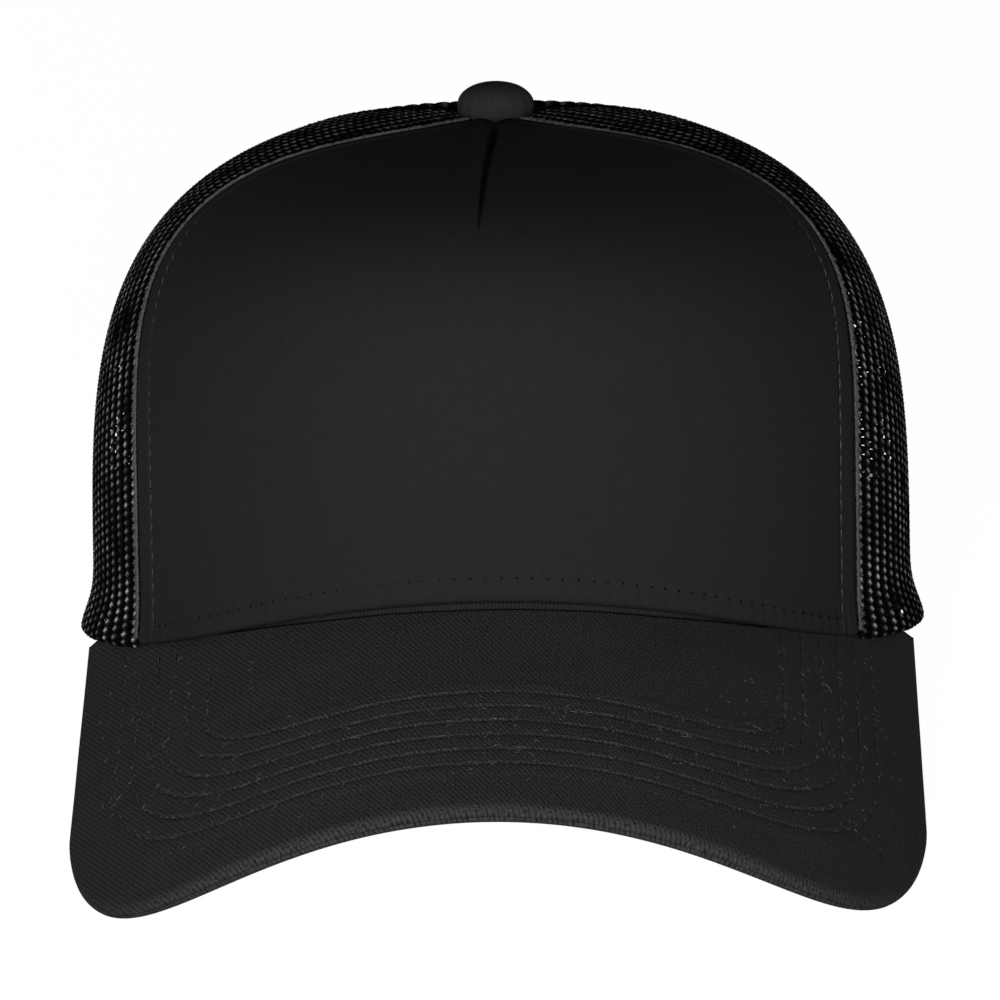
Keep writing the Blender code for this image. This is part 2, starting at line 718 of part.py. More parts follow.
def back_point(arc):
    """The straps' shared line round the back, by arc length from the middle, with its normal."""
    point = np.stack([np.interp(arc, BACK_ARC, BACK_LINE[:, i]) for i in range(3)], -1)
    step = 0.0005
    along = [np.interp(arc + step, BACK_ARC, BACK_LINE[:, i])
             - np.interp(arc - step, BACK_ARC, BACK_LINE[:, i]) for i in range(3)]
    along = np.stack(along, -1)
    along /= np.linalg.norm(along, axis=-1, keepdims=True)
    return point, np.cross(UP, along)


def strap_grid(arcs, standoff, tip=None):
    """The outer face of a strap on the +X side, from its hinge end to its tip."""
    middle = STRAP_FOOT + STRAP_HEIGHT / 2
    half = np.full(len(arcs), STRAP_HEIGHT / 2)
    if tip is not None:
        near = np.clip(arcs - tip, 0, STRAP_CORNER)
        half = half - STRAP_CORNER + np.sqrt(STRAP_CORNER**2 - (STRAP_CORNER - near) ** 2)
    point, outward = back_point(arcs)
    away = np.abs(HINGE_ARC - arcs)
    offset = STRAP / 2 + standoff * blend(away, 0.0, STANDOFF_REACH)
    if tip is None:
        offset = np.full(len(arcs), STRAP / 2)
    face = point + outward * offset[:, None]
    share = np.linspace(-1, 1, 4)[:, None, None]
    return face[None] + UP * (middle + share * half[None, :, None])


def snap_places():
    """Arc lengths of one strap's snaps, from the one nearest its tip."""
    first = -(SNAPS_ENGAGED - 1) / 2 * SNAP_PITCH
    return [first + i * SNAP_PITCH for i in range(SNAPS)]


def snap_tools(name, side, standoff, radii, start, length):
    """One mesh with a short tapered cylinder at every snap place."""
    bm = bmesh.new()
    for arc in snap_places():
        point, outward = back_point(np.array([arc]))
        reach = standoff * float(blend(abs(HINGE_ARC - arc), 0.0, STANDOFF_REACH))
        middle = STRAP_FOOT + STRAP_HEIGHT / 2
        centre = point[0] + UP * middle + outward[0] * (reach + start + length / 2)
        direction = outward[0] * np.array([side, 1, 1])
        turn_to = Vector(direction).to_track_quat("Z", "Y").to_matrix().to_4x4()
        place = Matrix.Translation(Vector(centre * np.array([side, 1, 1])))
        bmesh.ops.create_cone(
            bm, cap_ends=True, segments=16, radius1=radii[0], radius2=radii[1],
            depth=length, matrix=place @ turn_to,
        )
    mesh = bpy.data.meshes.new(name)
    bm.to_mesh(mesh)
    bm.free()
    return add_object(name, mesh, None, cutters)


def hinge_empty(name, side):
    """An empty on the line where a strap bends, its Z axis along the bend."""
    point, _ = back_point(np.array([HINGE_ARC]))
    hinge = bpy.data.objects.new(name, None)
    parts.objects.link(hinge)
    hinge.matrix_world = Matrix.Translation(Vector(point[0] * np.array([side, 1, 1])))
    return hinge


def hang_on(hinge, thing):
    """Moves a mesh into the frame of its hinge and parents it there."""
    thing.data.transform(hinge.matrix_world.inverted())
    thing.parent = hinge


def snap_straps():
    plastic = finish("strap_plastic", BLACK, 0.45)
    reach = HINGE_ARC - HINGE_CLEARANCE
    tip = -STRAP_TIP
    even = np.linspace(reach, tip + TIP_RUN, 17)
    arcs = np.concatenate([even, tip + np.array(TIP_STEPS)])
    root = np.linspace(HINGE_ARC + HINGE_CLEARANCE + ROOT_LENGTH, HINGE_ARC + HINGE_CLEARANCE, 5)
    kinds = (
        (1, "left", "strap_with_holes", STRAP_STANDOFF),
        (-1, "right", "strap_with_pegs", -STRAP_STANDOFF),
    )
    for side, suffix, name, standoff in kinds:
        face = strap_grid(arcs, standoff, tip)
        root_face = strap_grid(root, 0.0)
        if side < 0:
            face, root_face = mirror(face), mirror(root_face)
        strap = sheet(name, face, STRAP, plastic)
        sheet("strap_root_" + suffix, root_face, STRAP, plastic)
        if side > 0:
            radii, start, length = (HOLE_RADIUS, HOLE_RADIUS), -CUT_REACH, 2 * CUT_REACH
        else:
            radii, start, length = PEG_RADIUS, 0.0, STRAP / 2 + PEG_HEIGHT
        tools = snap_tools(name + "_tools", side, standoff, radii, start, length)
        hinge = hinge_empty("hinge_" + suffix, side)
        hang_on(hinge, strap)
        hang_on(hinge, tools)
        boolean(strap, tools, "DIFFERENCE" if side > 0 else "UNION")


# ---------------------------------------------------------------- standing on its base

def evaluated_points():
    """Every vertex of every part as built, in world space."""
    graph = bpy.context.evaluated_depsgraph_get()
    found = []
    for thing in parts.objects:
        if thing.type != "MESH":
            continue
        built = thing.evaluated_get(graph)
        mesh = built.to_mesh()
        local = np.empty(len(mesh.vertices) * 3)
        mesh.vertices.foreach_get("co", local)
        matrix = np.array(built.matrix_world)
        found.append(local.reshape(-1, 3) @ matrix[:3, :3].T + matrix[:3, 3])
        built.to_mesh_clear()
    return np.concatenate(found)


def stand_up():
    """Tips the cap onto its brim's corners and the back of its edge, over the origin."""
    bpy.context.view_layer.update()
    points = evaluated_points()
    pitch = 0.0
    for _ in range(8):
        height = points[:, 2] * math.cos(pitch) + points[:, 1] * math.sin(pitch)
        front = points[np.argmin(np.where(points[:, 1] < 0, height, 1.0))]
        back = points[np.argmin(np.where(points[:, 1] > 0, height, 1.0))]
        pitch = -math.atan2(back[2] - front[2], back[1] - front[1])
    tipped = points @ np.array(Matrix.Rotation(pitch, 3, "X")).T
    low, high = tipped.min(0), tipped.max(0)
    stand = bpy.data.objects.new("standing_pose", None)
    parts.objects.link(stand)
    for thing in list(parts.objects) + list(cutters.objects):
        if thing.parent is None and thing is not stand:
            thing.parent = stand
    stand.rotation_euler = (pitch, 0.0, 0.0)
    stand.location = (-(low[0] + high[0]) / 2, -(low[1] + high[1]) / 2, -low[2])


front_panels()
mesh_panels()
seam_tapes()
arch_binding()
brim()
sweatband()
care_label()
button()
snap_straps()
stand_up()
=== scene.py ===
"""The looks of the trucker mesh cap, built on the bodies and nodes of its frame.

Every shape follows the cap's own surfaces, in the cap's own frame: front along -Y, the edge at
the temples on z = 0, the crown's widest ellipse centred on the Z axis. stand() takes points
from there to the scene, where the cap stands on its brim's corners and the back of its edge.
"""
import json
import math

import bmesh
import bpy
import numpy as np
from mathutils import Matrix, Vector


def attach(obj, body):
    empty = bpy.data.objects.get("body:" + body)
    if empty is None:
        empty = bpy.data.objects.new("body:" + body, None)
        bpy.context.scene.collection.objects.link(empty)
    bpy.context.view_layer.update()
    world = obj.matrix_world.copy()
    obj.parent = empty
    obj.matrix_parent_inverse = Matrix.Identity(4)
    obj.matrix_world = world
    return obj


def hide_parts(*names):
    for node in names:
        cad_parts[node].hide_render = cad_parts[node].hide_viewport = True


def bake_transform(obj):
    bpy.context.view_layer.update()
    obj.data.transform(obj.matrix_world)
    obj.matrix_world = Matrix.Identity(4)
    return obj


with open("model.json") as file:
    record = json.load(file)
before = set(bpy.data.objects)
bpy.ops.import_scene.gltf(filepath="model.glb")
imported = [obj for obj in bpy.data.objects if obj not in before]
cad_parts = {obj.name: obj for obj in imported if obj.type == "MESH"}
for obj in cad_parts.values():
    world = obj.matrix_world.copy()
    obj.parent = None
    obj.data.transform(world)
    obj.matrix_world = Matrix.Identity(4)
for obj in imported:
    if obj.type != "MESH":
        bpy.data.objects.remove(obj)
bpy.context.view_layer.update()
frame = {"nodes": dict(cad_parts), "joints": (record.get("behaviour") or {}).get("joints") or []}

# Driving dimensions shared with the CAD, in metres and degrees.
HALF_WIDTH, HALF_LENGTH, CROWN_HEIGHT = 0.0864, 0.0985, 0.1040
APEX_Y, TOP_LEAN = 0.0060, 0.0345
FULLNESS_SIDE, FULLNESS_FRONT, FULLNESS_BACK = (2.715, 3.985), (3.218, 5.874), (2.3, 3.2)
APEX_DIMPLE, DIMPLE_RADIUS = 0.0003, 0.0125
HEM_FALL, HEM_FLARE, HEM_FLARE_HEIGHT = 7.0, 0.003, 0.007
FLARE_FROM, FLARE_TO = 56.0, 70.0
BRIM_END, BRIM_TILT, BRIM_BEND, BEND_REACH = 68.0, 20.84, (53.57, -6.23), 0.09
BRIM_LENGTH, BRIM_HALF_FLAT, BRIM_SHOULDER = 0.0683, 0.1022, 0.0103
BRIM_CORNER, BRIM_TIP_BACK = (5.45, 1.459), 0.0620
BRIM_THICKNESS, BRIM_INNER_DEPTH, EDGE_ROLL = 0.004, 0.0024, 0.002
FRONT_SEAM = (58.39, -2.92, 109.07, -130.65, 3.48)
SIDE_SEAM, POST_HOLE = 119.0, 0.974
LINING_DEPTH, LINING, TAPE_DEPTH, TAPE_OVER_LINING, TAPE_TOP = 0.001, 0.001, 0.0011, 0.0024, 0.87
TAPE_HALF_WIDTH = 0.0055
BAND, BAND_HEIGHT, BAND_DEPTH_FRONT, BAND_DEPTH_SIDE, BAND_END = 0.0012, 0.032, 0.0032, 0.0019, 136.0
ARCH_HALF_WIDTH, ARCH_HEIGHT, ARCH_SQUARENESS = 0.045, 0.054, 2.6
BINDING_WIDTH = 0.007
BUTTON_RADIUS, BUTTON_HEIGHT, BUTTON_LIFT = 0.008, 0.0056, 0.0010
STRAP, STRAP_HEIGHT, STRAP_FOOT, STRAP_DEPTH, STRAP_STANDOFF = 0.0012, 0.0155, 0.002, 0.0026, 0.0008
HINGE_X, ROOT_LENGTH, SNAP_PITCH, SNAPS, SNAPS_ENGAGED = 0.0395, 0.0157, 0.009, 6, 4
SNAP_MARGIN, HOLE_RADIUS = 0.005, 0.0025
LABEL_SIZE, LABEL_AZIMUTH = (0.018, 0.026), 112.0

# Dimensions of the finish.
CLOTH = 0.0005
TOPSTITCH_INSET = (0.0054, 0.0024)            # at the edge and at the button
TOPSTITCH_PITCH = 0.0031
BRIM_ROWS = np.linspace(0.0159, 0.0407, 6)     # stitch rows, inset from the brim's outline
BRIM_STITCH = 0.0050
KNIT_PITCH = 0.0018            # one hole along a rib of the mesh
RIB_SPACING = 0.0040
HEM_RADIUS = 0.0014

rng = np.random.default_rng(7)


# ---------------------------------------------------------------- the cap's surfaces

def lengths(line):
    """Distance along a polyline at each of its points."""
    return np.concatenate([[0.0], np.cumsum(np.linalg.norm(np.diff(line, axis=0), axis=1))])


BEND_LINE = np.arange(0.0, 0.12, 0.0005)
BEND_SLOPE = np.radians(
    BRIM_BEND[0] * BEND_LINE / BEND_REACH + BRIM_BEND[1] * (BEND_LINE / BEND_REACH) ** 3
)


def bell(value, width, power=2):
    """A smooth bump: 1 at zero, and gone a few widths away from it."""
    return np.exp(-(value / width) ** power)


def running_total(rate):
    return np.concatenate([[0.0], np.cumsum((rate[1:] + rate[:-1]) / 2 * np.diff(BEND_LINE))])


BEND_ACROSS = running_total(np.cos(BEND_SLOPE))
BEND_DROP = running_total(np.sin(BEND_SLOPE))
TILT = math.radians(BRIM_TILT)


def seam_height(across, back, top):
    """Height of the brim's top face over a point of the crown's edge."""
    drop = np.interp(np.abs(across), BEND_ACROSS, BEND_DROP)
    return top - drop * math.cos(TILT) + math.tan(TILT) * (back - drop * math.sin(TILT))


SEAM_TOP = -float(seam_height(
    HALF_WIDTH * math.sin(math.radians(BRIM_END)),
    HALF_LENGTH * (1 - math.cos(math.radians(BRIM_END))),
    0.0,
))


def hem_height(y):
    return -math.tan(math.radians(HEM_FALL)) * (y + HALF_LENGTH * math.cos(math.radians(BRIM_END)))


def dome_point(azimuth, angle, hem_flare=HEM_FLARE):
    """The crown's outer face at a rise angle of 0 at the edge to 90 degrees at the apex."""
    x = HALF_WIDTH * np.sin(azimuth)
    y = -HALF_LENGTH * np.cos(azimuth)
    over_brim = np.cos(azimuth) > math.cos(math.radians(BRIM_END))
    z = np.where(over_brim, seam_height(x, y + HALF_LENGTH, SEAM_TOP), hem_height(y))
    front = np.clip(np.cos(azimuth), 0, 1) ** 2
    back = np.clip(-np.cos(azimuth), 0, 1) ** 2
    side = 1 - front - back
    plan = FULLNESS_SIDE[0] * side + FULLNESS_FRONT[0] * front + FULLNESS_BACK[0] * back
    tall = FULLNESS_SIDE[1] * side + FULLNESS_FRONT[1] * front + FULLNESS_BACK[1] * back
    out = np.cos(angle) ** (2 / plan)
    up = np.sin(angle) ** (2 / tall)
    point = np.stack([x * out, y * out + APEX_Y * (1 - out), z + (CROWN_HEIGHT - z) * up], -1)
    point[..., 2] += TOP_LEAN * (point[..., 1] - APEX_Y) * up**2
    reach = np.hypot(point[..., 0], point[..., 1] - APEX_Y)
    point[..., 2] -= APEX_DIMPLE * bell(reach, DIMPLE_RADIUS, 4)
    bare = np.clip((np.degrees(np.abs(azimuth)) - FLARE_FROM) / (FLARE_TO - FLARE_FROM), 0, 1)
    flare = hem_flare * bare * bell(point[..., 2] - z, HEM_FLARE_HEIGHT)
    point[..., 0] += flare * np.sin(azimuth)
    point[..., 1] -= flare * np.cos(azimuth)
    return point


ANGLES = np.linspace(0, math.pi / 2, 4001) ** 2 / (math.pi / 2)
SIDE_ARC = lengths(dome_point(np.full_like(ANGLES, math.pi / 2), ANGLES))
ARC_LENGTH = float(SIDE_ARC[-1])
NUDGE = 0.0015                 # step between the two points that give a slope
LAST_NORMAL = 0.985            # above this rise the dome is taken as level


def rise_angle(rise):
    """Rise angle for a share of the way up the side, 0 at the edge and 1 at the apex."""
    return np.interp(rise, SIDE_ARC / ARC_LENGTH, ANGLES)


def crown(azimuth, rise, depth=0.0, hem_flare=HEM_FLARE):
    """A point a given depth inside the crown's outer face, and the outward normal there."""
    azimuth, rise = np.broadcast_arrays(np.asarray(azimuth, float), np.asarray(rise, float))
    low = rise_angle(np.clip(rise - NUDGE, 0, 1))
    high = rise_angle(np.clip(rise + NUDGE, 0, 1))
    level = rise_angle(np.clip(rise, 0, LAST_NORMAL))
    along = dome_point(azimuth + NUDGE, level, hem_flare)
    along = along - dome_point(azimuth - NUDGE, level, hem_flare)
    upward = dome_point(azimuth, high, hem_flare) - dome_point(azimuth, low, hem_flare)
    normal = unit(np.cross(along, upward))
    point = dome_point(azimuth, rise_angle(rise), hem_flare)
    return point - np.asarray(depth)[..., None] * normal, normal


def unit(vectors):
    return vectors / np.maximum(np.linalg.norm(vectors, axis=-1, keepdims=True), 1e-12)


def front_seam(rise):
    """Azimuth of the seam between the front panel and the side mesh."""
    return np.radians(np.polyval(FRONT_SEAM[::-1], rise_angle(rise) / (math.pi / 2)))


def topstitch_inset(rise):
    return TOPSTITCH_INSET[0] + (TOPSTITCH_INSET[1] - TOPSTITCH_INSET[0]) * smooth_step(rise, 0.3, 0.9)


def side_seam(rise):
    return np.radians(SIDE_SEAM) + 0 * rise


def mid_back(rise):
    return math.pi + 0 * rise


def girth(rise):
    """Half of the crown's width at a rise."""
    return HALF_WIDTH * np.cos(rise_angle(rise)) ** (2 / FULLNESS_SIDE[0])


def turn(length, rise):
    """The change of azimuth that covers a length round the crown at this rise."""
    return length / np.maximum(girth(rise), 0.002)


def brim_point(across, forward, depth=0.0):
    """The brim's top face; across is measured along its bend, depth is below the face."""
    side = np.sign(across)
    reach = np.abs(across)
    slope = np.interp(reach, BEND_LINE, BEND_SLOPE)
    x = side * (np.interp(reach, BEND_LINE, BEND_ACROSS) - np.sin(slope) * depth)
    drop = np.interp(reach, BEND_LINE, BEND_DROP) + np.cos(slope) * depth
    y = -HALF_LENGTH + drop * math.sin(TILT) - forward * math.cos(TILT)
    z = SEAM_TOP - drop * math.cos(TILT) - forward * math.sin(TILT)
    return np.stack([x, y, z], -1)


def resample(line, count):
    """Evenly spaced points along a polyline."""
    length = lengths(line)
    at = np.linspace(0, length[-1], count)
    return np.stack([np.interp(at, length, line[:, i]) for i in range(line.shape[1])], -1)


def brim_outline(inset, count):
    """Half of the brim's flat outline, from the middle of its front to its tip at the side."""
    angle = np.linspace(math.pi / 2, 0, 241)
    half = BRIM_HALF_FLAT - inset
    across = half * np.cos(angle) ** (2 / BRIM_CORNER[0])
    reach = BRIM_LENGTH - inset - BRIM_SHOULDER
    forward = BRIM_SHOULDER + reach * np.sin(angle) ** (2 / BRIM_CORNER[1])
    line = np.stack([np.append(across, half), np.append(forward, inset - BRIM_TIP_BACK)], -1)
    return resample(line, count)


def brim_inset(across, forward):
    """How far inside the brim's outline a flat point is, the inverse of brim_outline."""
    low = np.zeros(across.shape)
    high = np.full(across.shape, BRIM_LENGTH - BRIM_SHOULDER - 0.0005)
    ahead = np.maximum(forward - BRIM_SHOULDER, 0)
    for _ in range(30):
        middle = (low + high) / 2
        past = (np.abs(across) / (BRIM_HALF_FLAT - middle)) ** BRIM_CORNER[0]
        past = past + (ahead / (BRIM_LENGTH - middle - BRIM_SHOULDER)) ** BRIM_CORNER[1]
        low = np.where(past < 1, middle, low)
        high = np.where(past < 1, high, middle)
    return (low + high) / 2


def brim_inner(lower_face, count):
    """Half of a brim layer's flat inner edge; its lower face ends just short of the band."""
    azimuth = np.radians(np.linspace(0, BRIM_END + 3, 60))
    x = (HALF_WIDTH - BRIM_INNER_DEPTH) * np.sin(azimuth)
    y = -(HALF_LENGTH - BRIM_INNER_DEPTH) * np.cos(azimuth)
    across = np.interp(x, BEND_ACROSS - np.sin(BEND_SLOPE) * lower_face, BEND_LINE)
    slope = np.interp(across, BEND_LINE, BEND_SLOPE)
    drop = np.interp(across, BEND_LINE, BEND_DROP) + np.cos(slope) * lower_face
    forward = (-HALF_LENGTH + drop * math.sin(TILT) - y) / math.cos(TILT)
    return resample(np.stack([across, forward], -1), count)


def smooth_step(value, start, end):
    share = np.clip((value - start) / (end - start), 0, 1)
    return share * share * (3 - 2 * share)


def band_depth(azimuth):
    """Outer face of the sweatband: further in over the lining than over the mesh."""
    rear = smooth_step(np.degrees(np.abs(azimuth)), 76.0, 92.0)
    return BAND_DEPTH_FRONT + (BAND_DEPTH_SIDE - BAND_DEPTH_FRONT) * rear


def band_point(azimuth, height, depth):
    """A point a height above the crown's edge, which may be below it."""
    point, normal = crown(azimuth, np.maximum(height, 0.0) / ARC_LENGTH, depth, 0.0)
    point[..., 2] += np.minimum(height, 0.0)
    return point, normal


def arch_outline(count, foot=0.0):
    """The rear opening seen from behind, from its -X foot over the top to its +X foot."""
    foot_y = HALF_LENGTH * math.sqrt(1 - (ARCH_HALF_WIDTH / HALF_WIDTH) ** 2)
    angle = np.linspace(math.pi, 0, count)
    power = 2 / ARCH_SQUARENESS
    across = ARCH_HALF_WIDTH * np.sign(np.cos(angle)) * np.abs(np.cos(angle)) ** power
    rise = ARCH_HEIGHT * np.abs(np.sin(angle)) ** power
    return across, hem_height(foot_y) + np.maximum(rise, foot)


def in_arch(point, margin):
    """Whether points of the rear panels are inside the opening, grown by a margin."""
    foot_y = HALF_LENGTH * math.sqrt(1 - (ARCH_HALF_WIDTH / HALF_WIDTH) ** 2)
    across = np.abs(point[..., 0]) / (ARCH_HALF_WIDTH + margin)
    rise = np.maximum(point[..., 2] - hem_height(foot_y), 0) / (ARCH_HEIGHT + margin)
    return (point[..., 1] > 0) & (across**ARCH_SQUARENESS + rise**ARCH_SQUARENESS < 1)


def rear_surface(across, height, depth):
    """The crown's back at a place seen from behind: points at each depth, and the normal."""
    azimuth = math.pi - np.arcsin(across / HALF_WIDTH)
    rise = np.clip((height - hem_height(HALF_LENGTH)) / ARC_LENGTH, 0, 1)
    for _ in range(40):
        point, _ = crown(azimuth, rise)
        azimuth = azimuth + 0.7 * (point[..., 0] - across) / HALF_WIDTH
        rise = np.clip(rise - 0.7 * (point[..., 2] - height) / ARC_LENGTH, 0, 1)
    return crown(azimuth, rise, depth)


HINGE_Y = (HALF_LENGTH - STRAP_DEPTH) * math.sqrt(1 - (HINGE_X / (HALF_WIDTH - STRAP_DEPTH)) ** 2)
BACK_ANGLES = np.linspace(-0.8, 0.8, 801)
BACK_LINE = np.stack([
    (HALF_WIDTH - STRAP_DEPTH) * np.sin(BACK_ANGLES),
    (HALF_LENGTH - STRAP_DEPTH) * np.cos(BACK_ANGLES),
    np.full_like(BACK_ANGLES, hem_height(HINGE_Y)),
], -1)
BACK_ARC = lengths(BACK_LINE)
BACK_ARC = BACK_ARC - BACK_ARC[len(BACK_ARC) // 2]
HINGE_ARC = float(np.interp(HINGE_X, BACK_LINE[:, 0], BACK_ARC))
UP = np.array([0.0, 0.0, 1.0])


def back_point(arc):
    """The straps' shared line round the back, by arc length from the middle, with its normal."""
    point = np.stack([np.interp(arc, BACK_ARC, BACK_LINE[:, i]) for i in range(3)], -1)
    step = 0.0005
    along = np.stack([
        np.interp(arc + step, BACK_ARC, BACK_LINE[:, i])
        - np.interp(arc - step, BACK_ARC, BACK_LINE[:, i]) for i in range(3)
    ], -1)
    return point, np.cross(UP, unit(along))


# The hinge of the strap with holes gives the standing pose: its axis is the cap's upright.
hinge = next(j for j in frame["joints"] if j["name"] == "holes_strap_swing")
upright = -np.array(hinge["axis"])
STAND = np.array([[1, 0, 0], [0, upright[2], upright[1]], [0, -upright[1], upright[2]]])
STAND_AT = np.array(hinge["pos_m"]) - STAND @ back_point(np.array(HINGE_ARC))[0]


def stand(points):
    """From the cap's own frame to the row's frame."""
    return points @ STAND.T + STAND_AT


# ---------------------------------------------------------------- making pieces

def link(name, data):
    """A new object in the scene."""
    thing = bpy.data.objects.new(name, data)
    bpy.context.scene.collection.objects.link(thing)
    return thing


class Soup:
    """Quads gathered from many small closed shapes, with the cloth coordinates of each point."""

    def __init__(self):
        self.points, self.faces, self.cloth, self.count = [], [], [], 0

    def add(self, points, faces, cloth=None):
        points = points.reshape(-1, 3)
        self.points.append(points)
        self.faces.append(faces + self.count)
        self.cloth.append(points * 1.0 if cloth is None else cloth.reshape(-1, 3))
        self.count += len(points)

    def mirror(self):
        """Moves all that is gathered so far to the other side of the cap."""
        self.points = [mirrored(points) for points in self.points]
        self.faces = [faces[:, ::-1] for faces in self.faces]

    def piece(self, name, material, slot, body="root", replaces=()):
        mesh = bpy.data.meshes.new(name)
        points = stand(np.concatenate(self.points)).astype(np.float32)
        faces = np.concatenate(self.faces).astype(np.int32)
        mesh.vertices.add(len(points))
        mesh.vertices.foreach_set("co", points.ravel())
        mesh.loops.add(faces.size)
        mesh.loops.foreach_set("vertex_index", faces.ravel())
        mesh.polygons.add(len(faces))
        mesh.polygons.foreach_set("loop_start", np.arange(0, faces.size, 4, dtype=np.int32))
        mesh.update(calc_edges=True)
        layer = mesh.attributes.new("cloth", "FLOAT_VECTOR", "POINT")
        layer.data.foreach_set("vector", np.concatenate(self.cloth).astype(np.float32).ravel())
        mesh.shade_smooth()
        mesh.materials.append(material)
        piece = link(name, mesh)
        if body:
            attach(piece, body)
        if replaces:
            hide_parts(*replaces)
        return piece


def grid_faces(rows, columns, wrap=False, flip=False):
    """Quads of a grid of points, rows by columns, whose columns may close on themselves."""
    corner = np.arange(rows * columns).reshape(rows, columns)
    if wrap:
        corner = np.concatenate([corner, corner[:, :1]], axis=1)
    order = [corner[:-1, :-1], corner[:-1, 1:], corner[1:, 1:], corner[1:, :-1]]
    faces = np.stack(order, -1).reshape(-1, 4)
    return faces[:, ::-1] if flip else faces


def cap_faces(first, sides, flip):
    """Quads that close a ring with an even number of points."""
    step = np.arange((sides - 2) // 2)
    faces = np.stack([step, step + 1, sides - 2 - step, sides - 1 - step], -1) + first
    return faces[:, ::-1] if flip else faces


def add_loft(soup, rings, cloth=None, flip=False):
    """Rings of points joined one to the next, with both ends closed."""
    count, sides = rings.shape[:2]
    faces = np.concatenate([
        grid_faces(count, sides, wrap=True, flip=flip),
        cap_faces(0, sides, not flip), cap_faces((count - 1) * sides, sides, flip),
    ])
    soup.add(rings, faces, cloth)


def grid_normals(points):
    along = np.gradient(points, axis=1)
    upward = np.gradient(points, axis=0)
    return unit(np.cross(along, upward))


def add_skin(soup, outer, inner, cloth):
    """A closed skin between two grids of the same shape; the outer one faces out."""
    rows, columns = outer.shape[:2]
    size = rows * columns
    edge = np.concatenate([
        np.arange(columns), np.arange(1, rows) * columns + columns - 1,
        (rows - 1) * columns + np.arange(columns - 2, -1, -1),
        np.arange(rows - 2, 0, -1) * columns,
    ])
    after = np.roll(edge, -1)
    rim = np.stack([edge, edge + size, after + size, after], -1)
    faces = np.concatenate([
        grid_faces(rows, columns), grid_faces(rows, columns, flip=True) + size, rim,
    ])
    soup.add(np.concatenate([outer.reshape(-1, 3), inner.reshape(-1, 3)]), faces,
             np.concatenate([cloth.reshape(-1, 3), cloth.reshape(-1, 3)]))


def add_tube(soup, centres, sideways, outward, half_width, half_height, sides=6, phase=None):
    """A closed bar along centres with an elliptical section.

    With a phase along it, its cloth coordinates are the place across its section, the phase
    and how far outward its face is; otherwise they are plain positions.
    """
    angle = np.arange(sides) * 2 * math.pi / sides
    width = np.broadcast_to(half_width, len(centres))[:, None, None]
    height = np.broadcast_to(half_height, len(centres))[:, None, None]
    rings = centres[:, None] + sideways[:, None] * width * np.cos(angle)[None, :, None]
    rings = rings + outward[:, None] * height * np.sin(angle)[None, :, None]
    cloth = None
    if phase is not None:
        cloth = np.stack(np.broadcast_arrays(
            np.cos(angle)[None, :], phase[:, None], np.sin(angle)[None, :],
        ), -1)
    add_loft(soup, rings, cloth)


def add_thread(soup, line, normals, half_width, half_height, sides):
    """A closed bar along a line on a face with these normals."""
    along = unit(np.gradient(line, axis=0))
    add_tube(soup, line, np.cross(along, normals), normals, half_width, half_height, sides)


def skin_piece(name, outer, inner, cloth, material, slot, replaces=()):
    soup = Soup()
    add_skin(soup, outer, inner, cloth)
    soup.piece(name, material, slot, replaces=replaces)


def plain_skin(name, grid, thickness, material, slot, replaces=()):
    """A skin of even thickness whose outer face is the grid."""
    inner = grid - grid_normals(grid) * thickness
    skin_piece(name, grid, inner, laid_flat(grid, grid.shape[1] // 2), material, slot, replaces)


def laid_flat(grid, middle, height=None):
    """Cloth coordinates of a grid: along its rows from a middle column, and up its columns."""
    across = row_length(grid, middle)
    return np.stack([across, column_length(grid) if height is None else height, 0 * across], -1)


def column_length(grid):
    """Length along each column of a grid, from its first row."""
    steps = np.linalg.norm(np.diff(grid, axis=0), axis=-1)
    return np.concatenate([np.zeros((1, grid.shape[1])), np.cumsum(steps, axis=0)])


def row_length(grid, middle):
    """Signed length along each row of a grid from a middle column."""
    steps = np.linalg.norm(np.diff(grid, axis=1), axis=-1)
    total = np.concatenate([np.zeros((grid.shape[0], 1)), np.cumsum(steps, axis=1)], axis=1)
    return total - total[:, middle:middle + 1]


def mirrored(points):
    return points * np.array([-1.0, 1.0, 1.0])


def at_lengths(line, length, wanted):
    return np.stack([np.interp(wanted, length, line[:, i]) for i in range(3)], -1)


STITCH_RINGS = 6
STITCH_STRAY = 0.00004         # a stitch leaves its row sideways by about this


def add_stitches(soup, line, normals, pitch, share=0.82, radius=0.00020, proud=0.00012):
    """A row of stitches along a line: each dives into the cloth at both ends."""
    length = lengths(line)
    normals = unit(normals)
    bow = 1 - np.abs(np.linspace(-1, 1, STITCH_RINGS)) ** 2.5
    rise = (proud * bow - radius * 1.1 * (1 - bow))[:, None]
    thick = radius * (0.72 + 0.28 * bow)
    for i in range(int(length[-1] / pitch - 0.5) + 1):
        middle = (i + 0.5) * pitch + rng.normal() * 0.03 * pitch
        at = middle + np.linspace(-0.5, 0.5, STITCH_RINGS) * share * pitch
        if at[0] < 0 or at[-1] > length[-1]:
            continue
        centre = at_lengths(line, length, at)
        out = unit(at_lengths(normals, length, at))
        side = np.cross(unit(np.gradient(centre, axis=0)), out)
        centre = centre + out * rise + side * (rng.normal() * STITCH_STRAY)
        add_tube(soup, centre, side, out, thick, thick * 0.8)


# ---------------------------------------------------------------- materials

